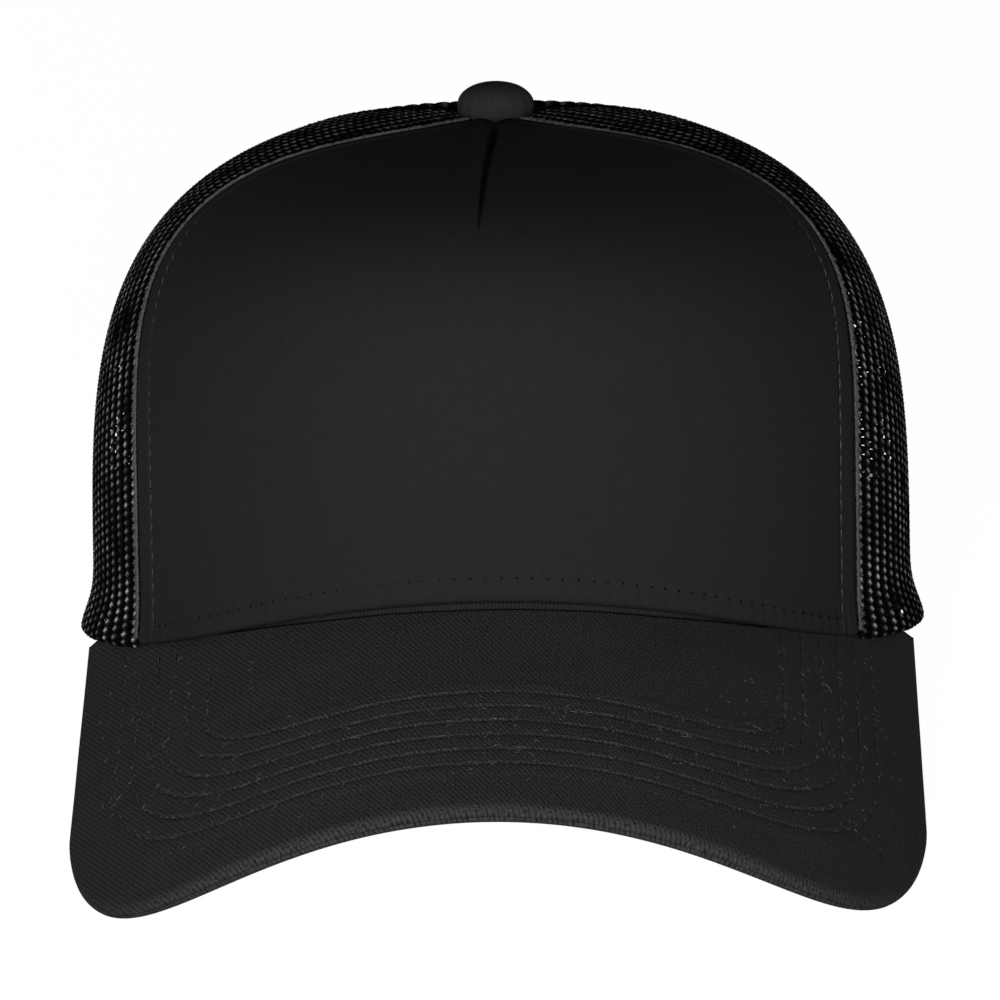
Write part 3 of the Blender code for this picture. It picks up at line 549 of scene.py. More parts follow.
class Finish:
    """A procedural material, with short ways to add nodes."""

    def __init__(self, name, colour, roughness, metallic=0.0, **sockets):
        self.material = bpy.data.materials.new(name)
        self.material.use_nodes = True
        self.tree = self.material.node_tree
        self.shader = self.tree.nodes["Principled BSDF"]
        self.colour = colour
        self.shader.inputs["Base Color"].default_value = (*colour, 1)
        self.shader.inputs["Roughness"].default_value = roughness
        self.shader.inputs["Metallic"].default_value = metallic
        for socket, value in sockets.items():
            self.shader.inputs[socket.replace("_", " ")].default_value = value

    def node(self, kind, inputs=None, **settings):
        node = self.tree.nodes.new("ShaderNode" + kind)
        for key, value in settings.items():
            setattr(node, key, value)
        for key, value in (inputs or {}).items():
            if isinstance(value, bpy.types.NodeSocket):
                self.tree.links.new(value, node.inputs[key])
            else:
                node.inputs[key].default_value = value
        return node.outputs[0]

    def math(self, operation, a, b=0.0, c=0.0):
        return self.node("Math", {0: a, 1: b, 2: c}, operation=operation)

    def place(self):
        """Cloth coordinates in metres."""
        return self.node("Attribute", attribute_name="cloth").node.outputs["Vector"]

    def noise(self, scale, detail=3.0, stretch=(1, 1, 1)):
        vector = self.node("Mapping", {"Vector": self.place(), "Scale": stretch})
        return self.node("TexNoise", {"Vector": vector, "Scale": scale, "Detail": detail})

    def ridges(self, angle, period, wobble=0.0):
        """A wave from 0 to 1 over the cloth, its lines at an angle from level."""
        direction = (-math.sin(angle), math.cos(angle), 0.0)
        along = self.node("VectorMath", {0: self.place(), 1: direction}, operation="DOT_PRODUCT")
        along = along.node.outputs["Value"]
        if wobble:
            along = self.math("MULTIPLY_ADD", self.noise(400.0, 2.0), wobble, along)
        wave = self.math("SINE", self.math("MULTIPLY", along, 2 * math.pi / period))
        return self.math("MULTIPLY_ADD", wave, 0.5, 0.5)

    def tint(self, factor, low, high):
        """Base colour between two multiples of the material's own colour."""
        stops = [tuple(min(1.0, c * k) for c in self.colour) + (1,) for k in (low, high)]
        mixed = self.node("Mix", {0: factor, 6: stops[0], 7: stops[1]}, data_type="RGBA")
        mixed = mixed.node.outputs[2]
        self.tree.links.new(mixed, self.shader.inputs["Base Color"])
        return mixed

    def bump(self, height, distance, strength=1.0):
        bump = self.node("Bump", {"Height": height, "Distance": distance, "Strength": strength})
        self.tree.links.new(bump, self.shader.inputs["Normal"])

    def rough(self, factor, low, high):
        spread = self.math("MULTIPLY_ADD", factor, high - low, low)
        self.tree.links.new(spread, self.shader.inputs["Roughness"])


def twill(name, colour, angle, period, ridged=0.7, fuzz=0.25, fluff_scale=1700.0):
    """Cotton twill: diagonal ridges crossed by fine threads, with a worn, fuzzy surface."""
    cloth = Finish(name, colour, 0.95, Specular_IOR_Level=0.01)
    diagonal = cloth.ridges(math.radians(angle), period, wobble=0.00025)
    threads = cloth.ridges(math.radians(angle + 62), period * 0.62)
    weave = cloth.math("MULTIPLY_ADD", threads, 0.28, cloth.math("MULTIPLY", diagonal, 0.72))
    slub = cloth.noise(260.0, 4.0)
    fluff = cloth.noise(fluff_scale, 3.0)
    shade = cloth.math("MULTIPLY_ADD", slub, 0.15, 0.425 - 0.5 * ridged)
    shade = cloth.math("ADD", shade, cloth.math("MULTIPLY", weave, ridged))
    shade = cloth.math("ADD", shade, cloth.math("MULTIPLY_ADD", fluff, fuzz, -0.5 * fuzz))
    cloth.tint(cloth.node("Clamp", {"Value": shade}), 0.35, 1.75)
    cloth.bump(cloth.math("MULTIPLY_ADD", fluff, fuzz, weave), 0.0001 * ridged)
    cloth.rough(slub, 0.85, 1.0)
    return cloth.material


def yarn(name, colour, roughness, **sockets):
    """Twisted thread with a soft gloss."""
    thread = Finish(name, colour, roughness, **sockets)
    fibre = thread.noise(1500.0, 3.0)
    broad = thread.noise(90.0, 2.0)
    thread.tint(thread.math("MULTIPLY_ADD", fibre, 0.5, thread.math("MULTIPLY", broad, 0.5)), 0.4, 1.8)
    thread.bump(fibre, 0.0001)
    thread.rough(broad, roughness - 0.1, roughness + 0.12)
    return thread.material


def knit(name, crest, roughness):
    """Mesh yarn: black, with a painted highlight on the outward face of each loop's crest along a rib, in
    patches.
    """
    thread = Finish(name, crest, roughness, Specular_IOR_Level=0.0)
    split = thread.node("SeparateXYZ", {"Vector": thread.place()}).node
    _, phase, facing = split.outputs
    wave = thread.math("SINE", thread.math("MULTIPLY_ADD", phase, 2 * math.pi, 0.4))
    loop = thread.math("POWER", thread.math("MULTIPLY_ADD", wave, 0.5, 0.5), 1.3)
    # painted highlight: only the outward face of the rib's section lights up
    front = thread.math("POWER", thread.math("MAXIMUM", facing, 0.0), 9.0)
    painted_highlight_spot = thread.math("MULTIPLY", loop, front)
    position = thread.node("TexCoord").node.outputs["Object"]
    patchy = thread.node("TexNoise", {"Vector": position, "Scale": 330.0, "Detail": 3.0})
    painted_highlight_spot = thread.math("MULTIPLY", painted_highlight_spot, thread.math("MULTIPLY_ADD", patchy, 2.6, -0.55))
    area = thread.node("TexNoise", {"Vector": position, "Scale": 110.0, "Detail": 1.0})
    painted_highlight_spot = thread.math("MULTIPLY", painted_highlight_spot, thread.math("MULTIPLY_ADD", area, 4.0, -1.1))
    painted_highlight_spot = thread.node("Clamp", {"Value": painted_highlight_spot})
    # painted highlight: the black yarn (the crest colour times 0.006) turns to the crest colour on these
    # spots
    thread.tint(painted_highlight_spot, 0.006, 1.0)
    thread.bump(patchy, 0.00012)
    thread.rough(patchy, roughness - 0.1, roughness + 0.15)
    return thread.material


def woven(name, colour, period, roughness=0.8, depth=0.00006):
    """Plain weave: two sets of fine threads at right angles."""
    tape = Finish(name, colour, roughness, Specular_IOR_Level=0.2)
    warp = tape.ridges(0.0, period, wobble=0.0001)
    weft = tape.ridges(math.pi / 2, period, wobble=0.0001)
    weave = tape.math("MULTIPLY", warp, weft)
    grain = tape.noise(300.0, 3.0)
    tape.tint(tape.math("MULTIPLY_ADD", grain, 0.6, tape.math("MULTIPLY", weave, 0.6)), 0.5, 1.6)
    tape.bump(weave, depth)
    tape.rough(grain, roughness - 0.1, roughness + 0.1)
    return tape.material


def moulded(name, colour, roughness):
    """Injection-moulded plastic: a faint grain and slow changes of gloss."""
    plastic = Finish(name, colour, roughness, Specular_IOR_Level=0.5)
    broad = plastic.noise(70.0, 3.0)
    grain = plastic.noise(2500.0, 2.0)
    plastic.tint(broad, 0.8, 1.3)
    plastic.bump(grain, 0.00002)
    plastic.rough(broad, roughness - 0.1, roughness + 0.15)
    return plastic.material


def metal(name, colour, roughness):
    steel = Finish(name, colour, roughness, 1.0)
    brushed = steel.noise(800.0, 3.0, (1, 8, 1))
    steel.tint(brushed, 0.75, 1.1)
    steel.bump(brushed, 0.00001)
    steel.rough(brushed, roughness - 0.1, roughness + 0.15)
    return steel.material


FRONT_TWILL = twill("front_twill_cloth", (0.0080, 0.0080, 0.0082), -60.0, 0.00052, 0.6)
# painted sheen: the brim's black twill is 1.6 times lighter than the front panel's
BRIM_TWILL_PAINTED_SHEEN = twill("brim_twill_painted_sheen", (0.0128, 0.0128, 0.0130), -60.0, 0.0009, 0.55, 2.2, 2100.0)
BUTTON_TWILL = twill("button_twill_cloth", (0.0135, 0.0135, 0.0138), 80.0, 0.00050, 1.0)
# painted shade: the cloth in the dart is under half the front twill's colour, to darken the dart's channel
DART_SHADE_TWILL = twill("dart_painted_shade_twill", (0.0035, 0.0035, 0.0036), 85.0, 0.0005, 0.9)
BAND_TWILL = twill("band_twill_cloth", (0.008, 0.008, 0.0083), 45.0, 0.00055)
# the knit's light crest colour is a painted highlight on its loops
KNIT_YARN_PAINTED_HIGHLIGHTS = knit("knit_yarn_painted_highlights", (0.30, 0.30, 0.303), 0.85)
EDGE_YARN = yarn("edge_yarn", (0.031, 0.031, 0.032), 0.8, Specular_IOR_Level=0.1)
DARK_THREAD = yarn("dark_thread", (0.005, 0.005, 0.0051), 0.4, Specular_IOR_Level=0.25)
BLACK_THREAD = yarn("black_thread", (0.0015, 0.0015, 0.0015), 0.9, Specular_IOR_Level=0.0)
BRIM_THREAD = yarn("brim_thread", (0.0030, 0.0030, 0.0032), 0.6, Specular_IOR_Level=0.1)
LINT = yarn("lint_fibre", (0.055, 0.055, 0.055), 0.8)
PALE_THREAD = yarn("pale_thread", (0.55, 0.55, 0.54), 0.5)
TAPE_WEAVE = woven("tape_weave", (0.008, 0.008, 0.0085), 0.0006)
BUCKRAM = woven("buckram_weave", (0.025, 0.025, 0.027), 0.0011, 0.85, 0.00015)
LABEL_SATIN = woven("label_satin", (0.72, 0.72, 0.70), 0.0003, 0.5, 0.00003)
STRAP_PLASTIC = moulded("strap_moulding", (0.007, 0.007, 0.0075), 0.42)
BOARD_PLASTIC = moulded("board_moulding", (0.78, 0.78, 0.75), 0.55)
STEEL = metal("stud_steel", (0.55, 0.56, 0.58), 0.38)


# ---------------------------------------------------------------- front panel

def ripple(x, y, z, scale, seed):
    """Slow, even-tempered unevenness from -1 to 1 out of a few crossed waves."""
    waves = np.random.default_rng(seed)
    total = 0.0
    for _ in range(6):
        direction = waves.normal(size=3)
        direction *= 2 * math.pi / (scale * np.linalg.norm(direction) * waves.uniform(0.7, 1.5))
        total = total + np.sin(direction[0] * x + direction[1] * y + direction[2] * z
                               + waves.uniform(0, 7))
    return total / 3.5


PANEL_FOOT = 0.0006            # the panel's edge stands this far off the brim's face
FOOT_LINE = 0.0025             # needle marks above that edge
MARK_PITCH, MARKS_END = 0.0031, 54.0
FRONT_ROWS = 170
FRONT_HEM = np.array([0.0, 0.0004, 0.0008, 0.0013, 0.0018, 0.0023, 0.0028])
SEAM_STEPS = np.concatenate([[0.0, 0.0003, 0.0007, 0.0012, 0.0018], np.arange(0.0024, 0.0072, 0.0002)])

DART_AZIMUTH = math.radians(-1.8)
DART_FOOT, DART_TOP, DART_END = 0.575, 0.90, 0.955
DART_DEPTH = 0.0021
DART_WIDTH = (0.0004, 0.0015)          # of its floor, at the foot and at the top
DART_LAP = 0.0004


def dart_opening(rise):
    """How far up the dart a rise is, from 0 to 1, and the width of its floor there."""
    above = np.clip((rise - DART_FOOT) / (DART_TOP - DART_FOOT), 0, 1)
    return above, DART_WIDTH[0] + (DART_WIDTH[1] - DART_WIDTH[0]) * above


def dart(azimuth, rise, radius):
    """Depth of the fold that shapes the panel's top, and of the cloth lapped over it."""
    above, width = dart_opening(rise)
    deep = above**0.45 * (1 - 0.85 * smooth_step(rise, DART_TOP, DART_END))
    across = (azimuth - DART_AZIMUTH) * radius
    right = np.clip(1 - np.maximum(across, 0) / (1.3 * width), 0, 1) ** 1.4
    left = bell(np.minimum(across, 0), 0.00025)
    lip = DART_LAP * bell(across + 0.0012, 0.0012)
    return deep * (DART_DEPTH * np.where(across > 0, right, left) - lip)


def front_shares():
    """Places across the panel, from seam to seam: dense along the seams and at the dart."""
    near_seam = SEAM_STEPS / 0.09
    dart_share = DART_AZIMUTH / math.radians(FRONT_SEAM[0] + 10)
    shares = np.concatenate([
        -1 + near_seam, np.linspace(-1, 1, 201)[8:-8], 1 - near_seam,
        dart_share + np.linspace(-0.035, 0.07, 64),
    ])
    return np.unique(np.round(shares, 6))


def front_relief(face, across, azimuth, level):
    """Height of the panel's cloth over the crown's face: edges, seams, gathers and dart."""
    from_seam = front_seam(level) - turn(0.0002, level) - np.abs(azimuth)
    from_seam = from_seam * np.maximum(girth(level), 0.004)
    from_foot = level * ARC_LENGTH - PANEL_FOOT + 0 * azimuth
    inset = topstitch_inset(level)
    height = 0.00025 * ripple(face[..., 0], face[..., 1], face[..., 2], 0.05, 3)
    height += 0.00015 * np.clip(1 - (from_seam / inset) ** 2, 0, 1)         # seam allowance
    height -= 0.00055 * bell(from_seam - inset, 0.00034, 4)                 # topstitch groove
    height -= 0.0009 * np.clip(1 - from_seam / 0.0007, 0, 1) ** 2           # rounded side edge
    height -= 0.0008 * np.clip(1 - from_foot / 0.0009, 0, 1) ** 2           # rounded foot
    height += 0.0005 * bell(from_foot, 0.0026)                              # turned foot
    height += 0.00013 * bell(from_foot, 0.005) * np.sin(across * 2 * math.pi / MARK_PITCH)
    return height - dart(azimuth, level, girth(level))


def front_panel():
    """Twill panel with turned edges, a seam ridge and a dart under the button."""
    level = np.concatenate([
        (PANEL_FOOT + FRONT_HEM) / ARC_LENGTH, np.linspace(0.0045 / ARC_LENGTH, POST_HOLE, FRONT_ROWS),
    ])[:, None]
    share = front_shares()
    azimuth = (front_seam(level) - turn(0.0002, level)) * share[None, :]
    face, normal = crown(azimuth, level)
    middle = int(np.argmin(np.abs(share)))
    across = row_length(face, middle)
    upward = np.broadcast_to(column_length(face)[:, middle:middle + 1], across.shape)
    outer = face + normal * front_relief(face, across, azimuth, level)[..., None]
    inner = outer - grid_normals(outer) * CLOTH
    cloth = np.stack([across, upward, 0 * across], -1)
    skin_piece("front_panel_twill", outer, inner, cloth, FRONT_TWILL, "front_twill", ["front_panel"])


def front_threads():
    """Topstitching beside both seams, and needle marks above the brim."""
    threads = Soup()
    for side in (-1, 1):
        level = np.linspace(0.0012 / ARC_LENGTH, DART_END, 500)
        azimuth = side * (front_seam(level) - turn(topstitch_inset(level), level))
        line, out = crown(azimuth, level, 0.0003)
        add_stitches(threads, line, out, TOPSTITCH_PITCH, radius=0.00016, proud=0.0001)
    threads.piece("front_topstitching", DARK_THREAD, "front_twill")

    marks = Soup()
    azimuth = np.radians(np.linspace(-MARKS_END, MARKS_END, 1200))
    level = np.full_like(azimuth, (PANEL_FOOT + FOOT_LINE) / ARC_LENGTH)
    line, out = crown(azimuth, level, -0.00022)
    add_stitches(marks, line, out, MARK_PITCH, share=0.13, radius=0.00024, proud=0.00006)
    marks.piece("front_needle_marks", BLACK_THREAD, "front_twill")


def dart_painted_shade_sheet():
    """A ruffled strip of cloth inside the dart, shaped like its turned-in edges, coloured much darker than
    the panel: painted shade in the dart's channel.
    """
    rows, columns = 120, 9
    level = np.linspace(DART_FOOT + 0.01, 0.948, rows)[:, None]
    above, width = dart_opening(level)
    share = np.linspace(0, 1, columns)[None, :]
    ruffle = 0.00008 * rng.normal(size=(rows, columns))
    depth = 0.0003 + DART_DEPTH * 0.35 * (1 - share) * above + ruffle
    face, _ = crown(DART_AZIMUTH + turn(0.5 * width * share, level), level, depth)
    plain_skin("front_dart_painted_shade", face, 0.0002, DART_SHADE_TWILL, "front_twill")


def front_lining():
    level = np.linspace(0.0026 / ARC_LENGTH, POST_HOLE, 120)[:, None]
    azimuth = (front_seam(level) - turn(0.0008, level)) * np.linspace(-1, 1, 121)[None, :]
    face, _ = crown(azimuth, level, LINING_DEPTH + 0.0002)
    plain_skin("front_lining_buckram", face, LINING - 0.0003, BUCKRAM, "lining", ["front_lining"])


# ---------------------------------------------------------------- knitted mesh

class Wale:
    """One rib of the knit: its line over the crown, turned under at the hem."""

    def __init__(self, azimuth_of, phase, keep):
        self.phase, self.keep = phase, keep
        rise = np.linspace(0.0, POST_HOLE, 900)
        azimuth = azimuth_of(rise)
        point, normal = crown(azimuth, rise)
        along = unit(np.gradient(point, axis=0))
        length = lengths(point)
        first = int(np.searchsorted(length, HEM_RADIUS))
        angle = np.linspace(0.85 * math.pi, 0.05, 12)
        curl = np.stack([np.cos(angle), np.sin(angle)], -1)
        out_and_up = np.stack([normal[first], along[first]])
        curl_out = (curl * np.array([1, -1])) @ out_and_up
        curl_along = curl[:, ::-1] @ out_and_up
        centre = point[first] - HEM_RADIUS * normal[first]
        self.point = np.concatenate([centre + HEM_RADIUS * curl_out, point[first:]])
        self.normal = np.concatenate([curl_out, normal[first:]])
        self.along = np.concatenate([curl_along, along[first:]])
        self.length = np.concatenate([HEM_RADIUS * (1 - angle), length[first:]])

        def with_hem(values):
            return np.concatenate([np.full(len(angle), values[0]), values])

        self.inside = with_hem(keep(azimuth[first:], rise[first:], point[first:]))
        self.azimuth = with_hem(azimuth[first:])
        self.rise = with_hem(rise[first:])

    def at(self, length):
        point = at_lengths(self.point, self.length, length)
        normal = unit(at_lengths(self.normal, self.length, length))
        along = unit(at_lengths(self.along, self.length, length))
        return point, normal, np.cross(along, normal)

    def where(self, length):
        return np.interp(length, self.length, self.azimuth), np.interp(length, self.length, self.rise)

    def kept(self, length):
        inside = np.interp(length, self.length, self.inside.astype(float)) > 0.99
        return inside & (length > self.length[0]) & (length < self.length[-1])


RIB_HALF_WIDTH, RIB_HALF_HEIGHT, RIB_DEPTH = 0.00134, 0.00038, 0.00044
RIB_ZIGZAG = 0.00036
BAR_HALF_WIDTH, BAR_HALF_HEIGHT, BAR_DEPTH = 0.00067, 0.00034, 0.00052
BAR_BOW = 0.00016
REAR_GAIN = 1.05               # the rear panels are knitted closer
RINGS_PER_PITCH = 5
SEAM_CLEAR = 0.0013            # ribs and bars stop this far from a side seam
ROLL_INSET = 0.0011            # from a seam to the middle of the roll beside it
MESH_FOOT = 0.0012 / ARC_LENGTH
ARCH_MARGIN = 0.0022


def add_rib(soup, wale, gain=1.0):
    """A flat braided rib that leans to each side in turn, where the bars leave it."""
    count = int((wale.length[-1] - wale.length[0]) / KNIT_PITCH * RINGS_PER_PITCH)
    at = np.linspace(wale.length[0], wale.length[-1], count)
    kept = wale.kept(at)
    starts = np.flatnonzero(np.diff(np.concatenate([[False], kept, [False]]).astype(int)))
    for first, last in zip(starts[::2], starts[1::2]):
        if last - first < 4:
            continue
        here = at[first:last]
        point, normal, side = wale.at(here)
        turn_of = 2 * math.pi * (here / KNIT_PITCH - wale.phase)
        lean = RIB_ZIGZAG * (np.cos(turn_of) + np.cos(3 * turn_of) / 9)
        lean = lean + 0.00006 * rng.normal(size=len(here))
        bead = 1 + 0.22 * np.cos(2 * turn_of + 0.6)
        centre = point - normal * RIB_DEPTH + side * lean[:, None]
        add_tube(soup, centre, side, normal, gain * RIB_HALF_WIDTH * (2 - bead) ** 0.5,
                 RIB_HALF_HEIGHT * bead, 8, turn_of / (2 * math.pi))


def add_bars(soup, left, right, gain=1.0):
    """The short threads that join two neighbouring ribs, one for every pitch."""
    at = (np.arange(-2, int(left.length[-1] / KNIT_PITCH) + 1) + left.phase) * KNIT_PITCH
    from_left, from_right = left.kept(at), right.kept(at)
    some = from_left | from_right
    at, whole = at[some], (from_left & from_right)[some]
    start, start_out, start_side = left.at(at)
    end, end_out, end_side = right.at(at)
    gap = np.linalg.norm(end - start, axis=1)
    start = start + start_side * RIB_ZIGZAG - start_out * BAR_DEPTH
    end = end - end_side * RIB_ZIGZAG - end_out * BAR_DEPTH
    left_place, right_place = np.stack(left.where(at)), np.stack(right.where(at))
    for i in np.flatnonzero((gap > 0.4 * RIB_SPACING) & (gap < 1.9 * RIB_SPACING)):
        share = np.linspace(0, 1, 12)[:, None]
        if not whole[i]:
            azimuth, rise = (left_place[:, i] + (right_place[:, i] - left_place[:, i]) * share).T
            share = share[left.keep(azimuth, rise, start[i] + (end[i] - start[i]) * share)]
        if len(share) < 2:
            continue
        share = np.linspace(share.min(), share.max(), 4)[:, None]
        line = start[i] + (end[i] - start[i]) * share
        out = unit(start_out[i] + (end_out[i] - start_out[i]) * share)
        across = np.cross(out, unit(np.gradient(line, axis=0)))
        bow = BAR_BOW * (-1) ** i * np.sin(math.pi * share)
        add_tube(soup, line + across * bow, across, out, gain * BAR_HALF_WIDTH, BAR_HALF_HEIGHT, 6)


def wales(edge, direction, first, width, keep):
    """Ribs at even distances from a seam, while they last."""
    made = []
    for i in range(int(width / RIB_SPACING)):
        offset = first + i * RIB_SPACING

        def azimuth_of(rise, offset=offset):
            return edge(rise) + direction * turn(offset, rise)

        made.append(Wale(azimuth_of, 0.5 * (i % 2), keep))
    return made


def clear_of_arch(point):
    return ~in_arch(point, ARCH_MARGIN)


def side_keep(azimuth, rise, point):
    """Which places belong to the side panel."""
    return azimuth < side_seam(rise) - turn(SEAM_CLEAR, rise)


def rear_keep(azimuth, rise, point):
    """Which places belong to the rear panel."""
    return (azimuth > side_seam(rise) + turn(SEAM_CLEAR, rise)) & clear_of_arch(point)


def add_seam_roll(soup, seam, direction, keep=None):
    """The mesh gathered into a seam: a knobbly roll along it."""
    rise = np.linspace(MESH_FOOT, POST_HOLE - 0.004, 420)
    point, normal = crown(seam(rise) + direction * turn(ROLL_INSET, rise), rise)
    length = lengths(point)
    at = np.arange(0, length[-1], 0.0005)
    point, normal = at_lengths(point, length, at), unit(at_lengths(normal, length, at))
    if keep is not None:
        inside = keep(point)
        point, normal, at = point[inside], normal[inside], at[inside]
    side = np.cross(unit(np.gradient(point, axis=0)), normal)
    knob = 1 + 0.16 * np.sin(at * 2 * math.pi / 0.0013) + 0.08 * rng.normal(size=len(at))
    add_tube(soup, point - normal * 0.0004, side, normal, 0.0009 * knob, 0.00052 * knob, 8)


def add_overlock(soup):
    """The ragged edge of loops that covers the mesh's cut edge beside the front panel."""
    rise = np.linspace(MESH_FOOT, POST_HOLE - 0.01, 600)
    line, _ = crown(front_seam(rise), rise)
    length = lengths(line)
    at = np.arange(0.0005, length[-1], 0.00036)
    level = np.interp(at, length, rise)
    loops = np.where(np.arange(len(at)) % 2, 0.0006, 0.0019 + 0.0006 * rng.normal(size=len(at)))
    for offset, radius in ((0.0003, 0.0003), (0.0007, 0.0003), (loops, 0.00022)):
        away = np.clip(offset + 0.00012 * rng.normal(size=len(at)), 0.0001, 0.0034)
        knots = np.interp(at, at[::2], rng.uniform(0.45, 1.35, len(at[::2])))
        depth = 0.15 * away - 0.0002 * knots
        point, normal = crown(front_seam(level) + turn(away, level), level, depth)
        add_thread(soup, point, normal, radius * knots, radius * knots, 6)


def add_hem_core(soup):
    """The turned-under edge of the mesh, packed inside its hem."""
    azimuth = np.radians(np.linspace(FLARE_FROM, 180, 900))
    rise = np.full_like(azimuth, (HEM_RADIUS + 0.0006) / ARC_LENGTH)
    point, normal = crown(azimuth, rise, 0.0015)
    inside = clear_of_arch(point)
    point, normal = point[inside], normal[inside]
    thick = 0.0011 * rng.uniform(0.9, 1.1, len(point))
    add_thread(soup, point, normal, thick * 1.5, thick, 8)


def add_side_mesh(soup):
    ribs = wales(front_seam, 1, 0.0020, 0.115, side_keep)
    for rib in ribs:
        add_rib(soup, rib)
    for near, far in zip(ribs, ribs[1:]):
        add_bars(soup, near, far)
    add_seam_roll(soup, side_seam, -1)


def add_rear_mesh(soup):
    ribs = wales(mid_back, -1, 0.0022, 0.115, rear_keep)
    for rib in ribs:
        add_rib(soup, rib, REAR_GAIN)
    for near, far in zip(ribs, ribs[1:]):
        add_bars(soup, far, near, REAR_GAIN)
    add_seam_roll(soup, side_seam, 1)
    add_seam_roll(soup, mid_back, -1, clear_of_arch)


def mesh_panels():
    """Both sides of the mesh, each made on the +X side and mirrored where it belongs at -X."""
    for side, suffix in ((1, "left"), (-1, "right")):
        for add, name, material, node in (
            (add_side_mesh, "side_mesh_" + suffix + "_knit", KNIT_YARN_PAINTED_HIGHLIGHTS, "side_mesh_" + suffix),
            (add_rear_mesh, "rear_mesh_" + suffix + "_knit", KNIT_YARN_PAINTED_HIGHLIGHTS, "rear_mesh_" + suffix),
            (add_hem_core, "hem_core_" + suffix, BLACK_THREAD, None),
            (add_overlock, "seam_overlock_" + suffix, EDGE_YARN, None),
        ):
            soup = Soup()
            add(soup)
            if side < 0:
                soup.mirror()
            soup.piece(name, material, "knit", replaces=[node] if node else [])


# ---------------------------------------------------------------- brim

EDGE_INSETS = np.array([20, 17, 14, 11, 8, 5.5, 3.5, 2, 0.8, 0]) / 10000
MIRROR_FLAT = np.array([-1, 1])
SEARCHED_AT_ONCE = 2000
LINT_FIBRES, LINT_ON_ROWS = 900, 0.6          # how many, and the share along the stitch rows


def roll(inset):
    """How far the brim's face has turned down at a distance inside its outline."""
    half = BRIM_THICKNESS / 2 - 0.00012
    out = 1 - np.minimum(inset, EDGE_ROLL) / EDGE_ROLL
    return half * (1 - np.sqrt(1 - out * out))


def both_halves(half):
    """A flat outline from side to side, out of its +X half."""
    return np.concatenate([(half * MIRROR_FLAT)[:0:-1], half])


def crown_reach(place):
    """1 on the crown's edge ellipse, more in front of it."""
    return np.hypot(place[..., 0] / HALF_WIDTH, place[..., 1] / HALF_LENGTH)


def row_line(inset):
    """A stitch row's flat line from side to side, where it is in front of the crown."""
    line = both_halves(brim_outline(inset, 500))
    return line[crown_reach(brim_point(line[:, 0], line[:, 1])) > 1.004]


def stitch_relief(flat):
    """Grooves along the stitch rows, deeper at each needle hole, and cloth puffed between."""
    inset = brim_inset(flat[..., 0], flat[..., 1])
    relief = np.zeros(inset.shape)
    for i, row in enumerate(BRIM_ROWS):
        near = np.abs(inset - row) < 0.0028
        line = row_line(row)
        nearest = np.concatenate([
            np.hypot(*(part[:, None] - line[None]).transpose(2, 0, 1)).argmin(axis=1)
            for part in np.array_split(flat[near], max(1, near.sum() // SEARCHED_AT_ONCE))
        ])
        along = lengths(line)[nearest] / BRIM_STITCH
        each = np.random.default_rng(40 + i).uniform(0.1, 1.25, int(along.max()) + 2)
        pull = (0.5 - 0.5 * np.cos(2 * math.pi * along)) ** 0.4     # 0 at the needle holes
        pull = pull * each[along.astype(int)]
        off = inset[near] - row
        crest = bell(off - 0.0007, 0.00035) + 0.4 * bell(off + 0.0010, 0.0006)
        relief[near] += 0.00020 * crest * pull - 0.00030 * bell(off, 0.00040) * (0.25 + 0.75 * pull)
    inside = (inset > BRIM_ROWS[0] - 0.004) & (inset < BRIM_ROWS[-1] + 0.004)
    spacing = BRIM_ROWS[1] - BRIM_ROWS[0]
    puff = 0.5 - 0.5 * np.cos(2 * math.pi * (inset - BRIM_ROWS[0]) / spacing)
    return relief + np.where(inside, 0.00010 * puff, 0.0)


def gather_rows(flat, rows):
    """Fewer rows out of a fine grid, most of them close to the stitching."""
    inset = brim_inset(flat[..., 0], flat[..., 1])
    weight = 1 + 3.5 * sum(bell(inset - row - 0.0002, 0.0013) for row in BRIM_ROWS)
    total = np.cumsum(weight, axis=0)
    total = (total - total[0]) / (total[-1] - total[0])
    wanted = np.linspace(0, 1, rows)
    return np.stack([
        np.stack([np.interp(wanted, total[:, i], flat[:, i, axis]) for axis in range(2)], -1)
        for i in range(flat.shape[1])
    ], 1)


def brim_cover(name, lower, lower_face, node):
    """One fabric face of the brim, rolled over the board's edge."""
    columns, rows = (170, 130) if lower else (210, 230)
    inner = brim_inner(lower_face, columns)
    outer = brim_outline(EDGE_ROLL, columns)
    flat = gather_rows(inner + (outer - inner) * np.linspace(0, 1, 600)[:, None, None], rows)
    flat = np.concatenate([flat] + [brim_outline(e, columns)[None] for e in EDGE_INSETS[1:]])
    turned_down = np.concatenate([np.full(rows, roll(EDGE_ROLL)), roll(EDGE_INSETS[1:])])
    flat = np.concatenate([(flat * MIRROR_FLAT)[:, :0:-1], flat], axis=1)
    relief = stitch_relief(flat)
    relief += 0.00015 * ripple(flat[..., 0], flat[..., 1], 0 * relief, 0.022, 11)
    fade = smooth_step(brim_inset(flat[..., 0], flat[..., 1]), 0.0, 0.004)
    down = turned_down[:, None] - np.minimum(relief * fade, 0.0004)
    face = brim_point(flat[..., 0], flat[..., 1], BRIM_THICKNESS - down if lower else down)
    normals = grid_normals(face) * (1 if lower else -1)
    cloth = np.stack([flat[..., 0], flat[..., 1] * (1 if lower else -1), 0 * down], -1)
    order = slice(None, None, 1 if lower else -1)
    skin_piece(name, face[order], (face - normals * CLOTH)[order], cloth[order],
               BRIM_TWILL_PAINTED_SHEEN, "brim_twill", [node])


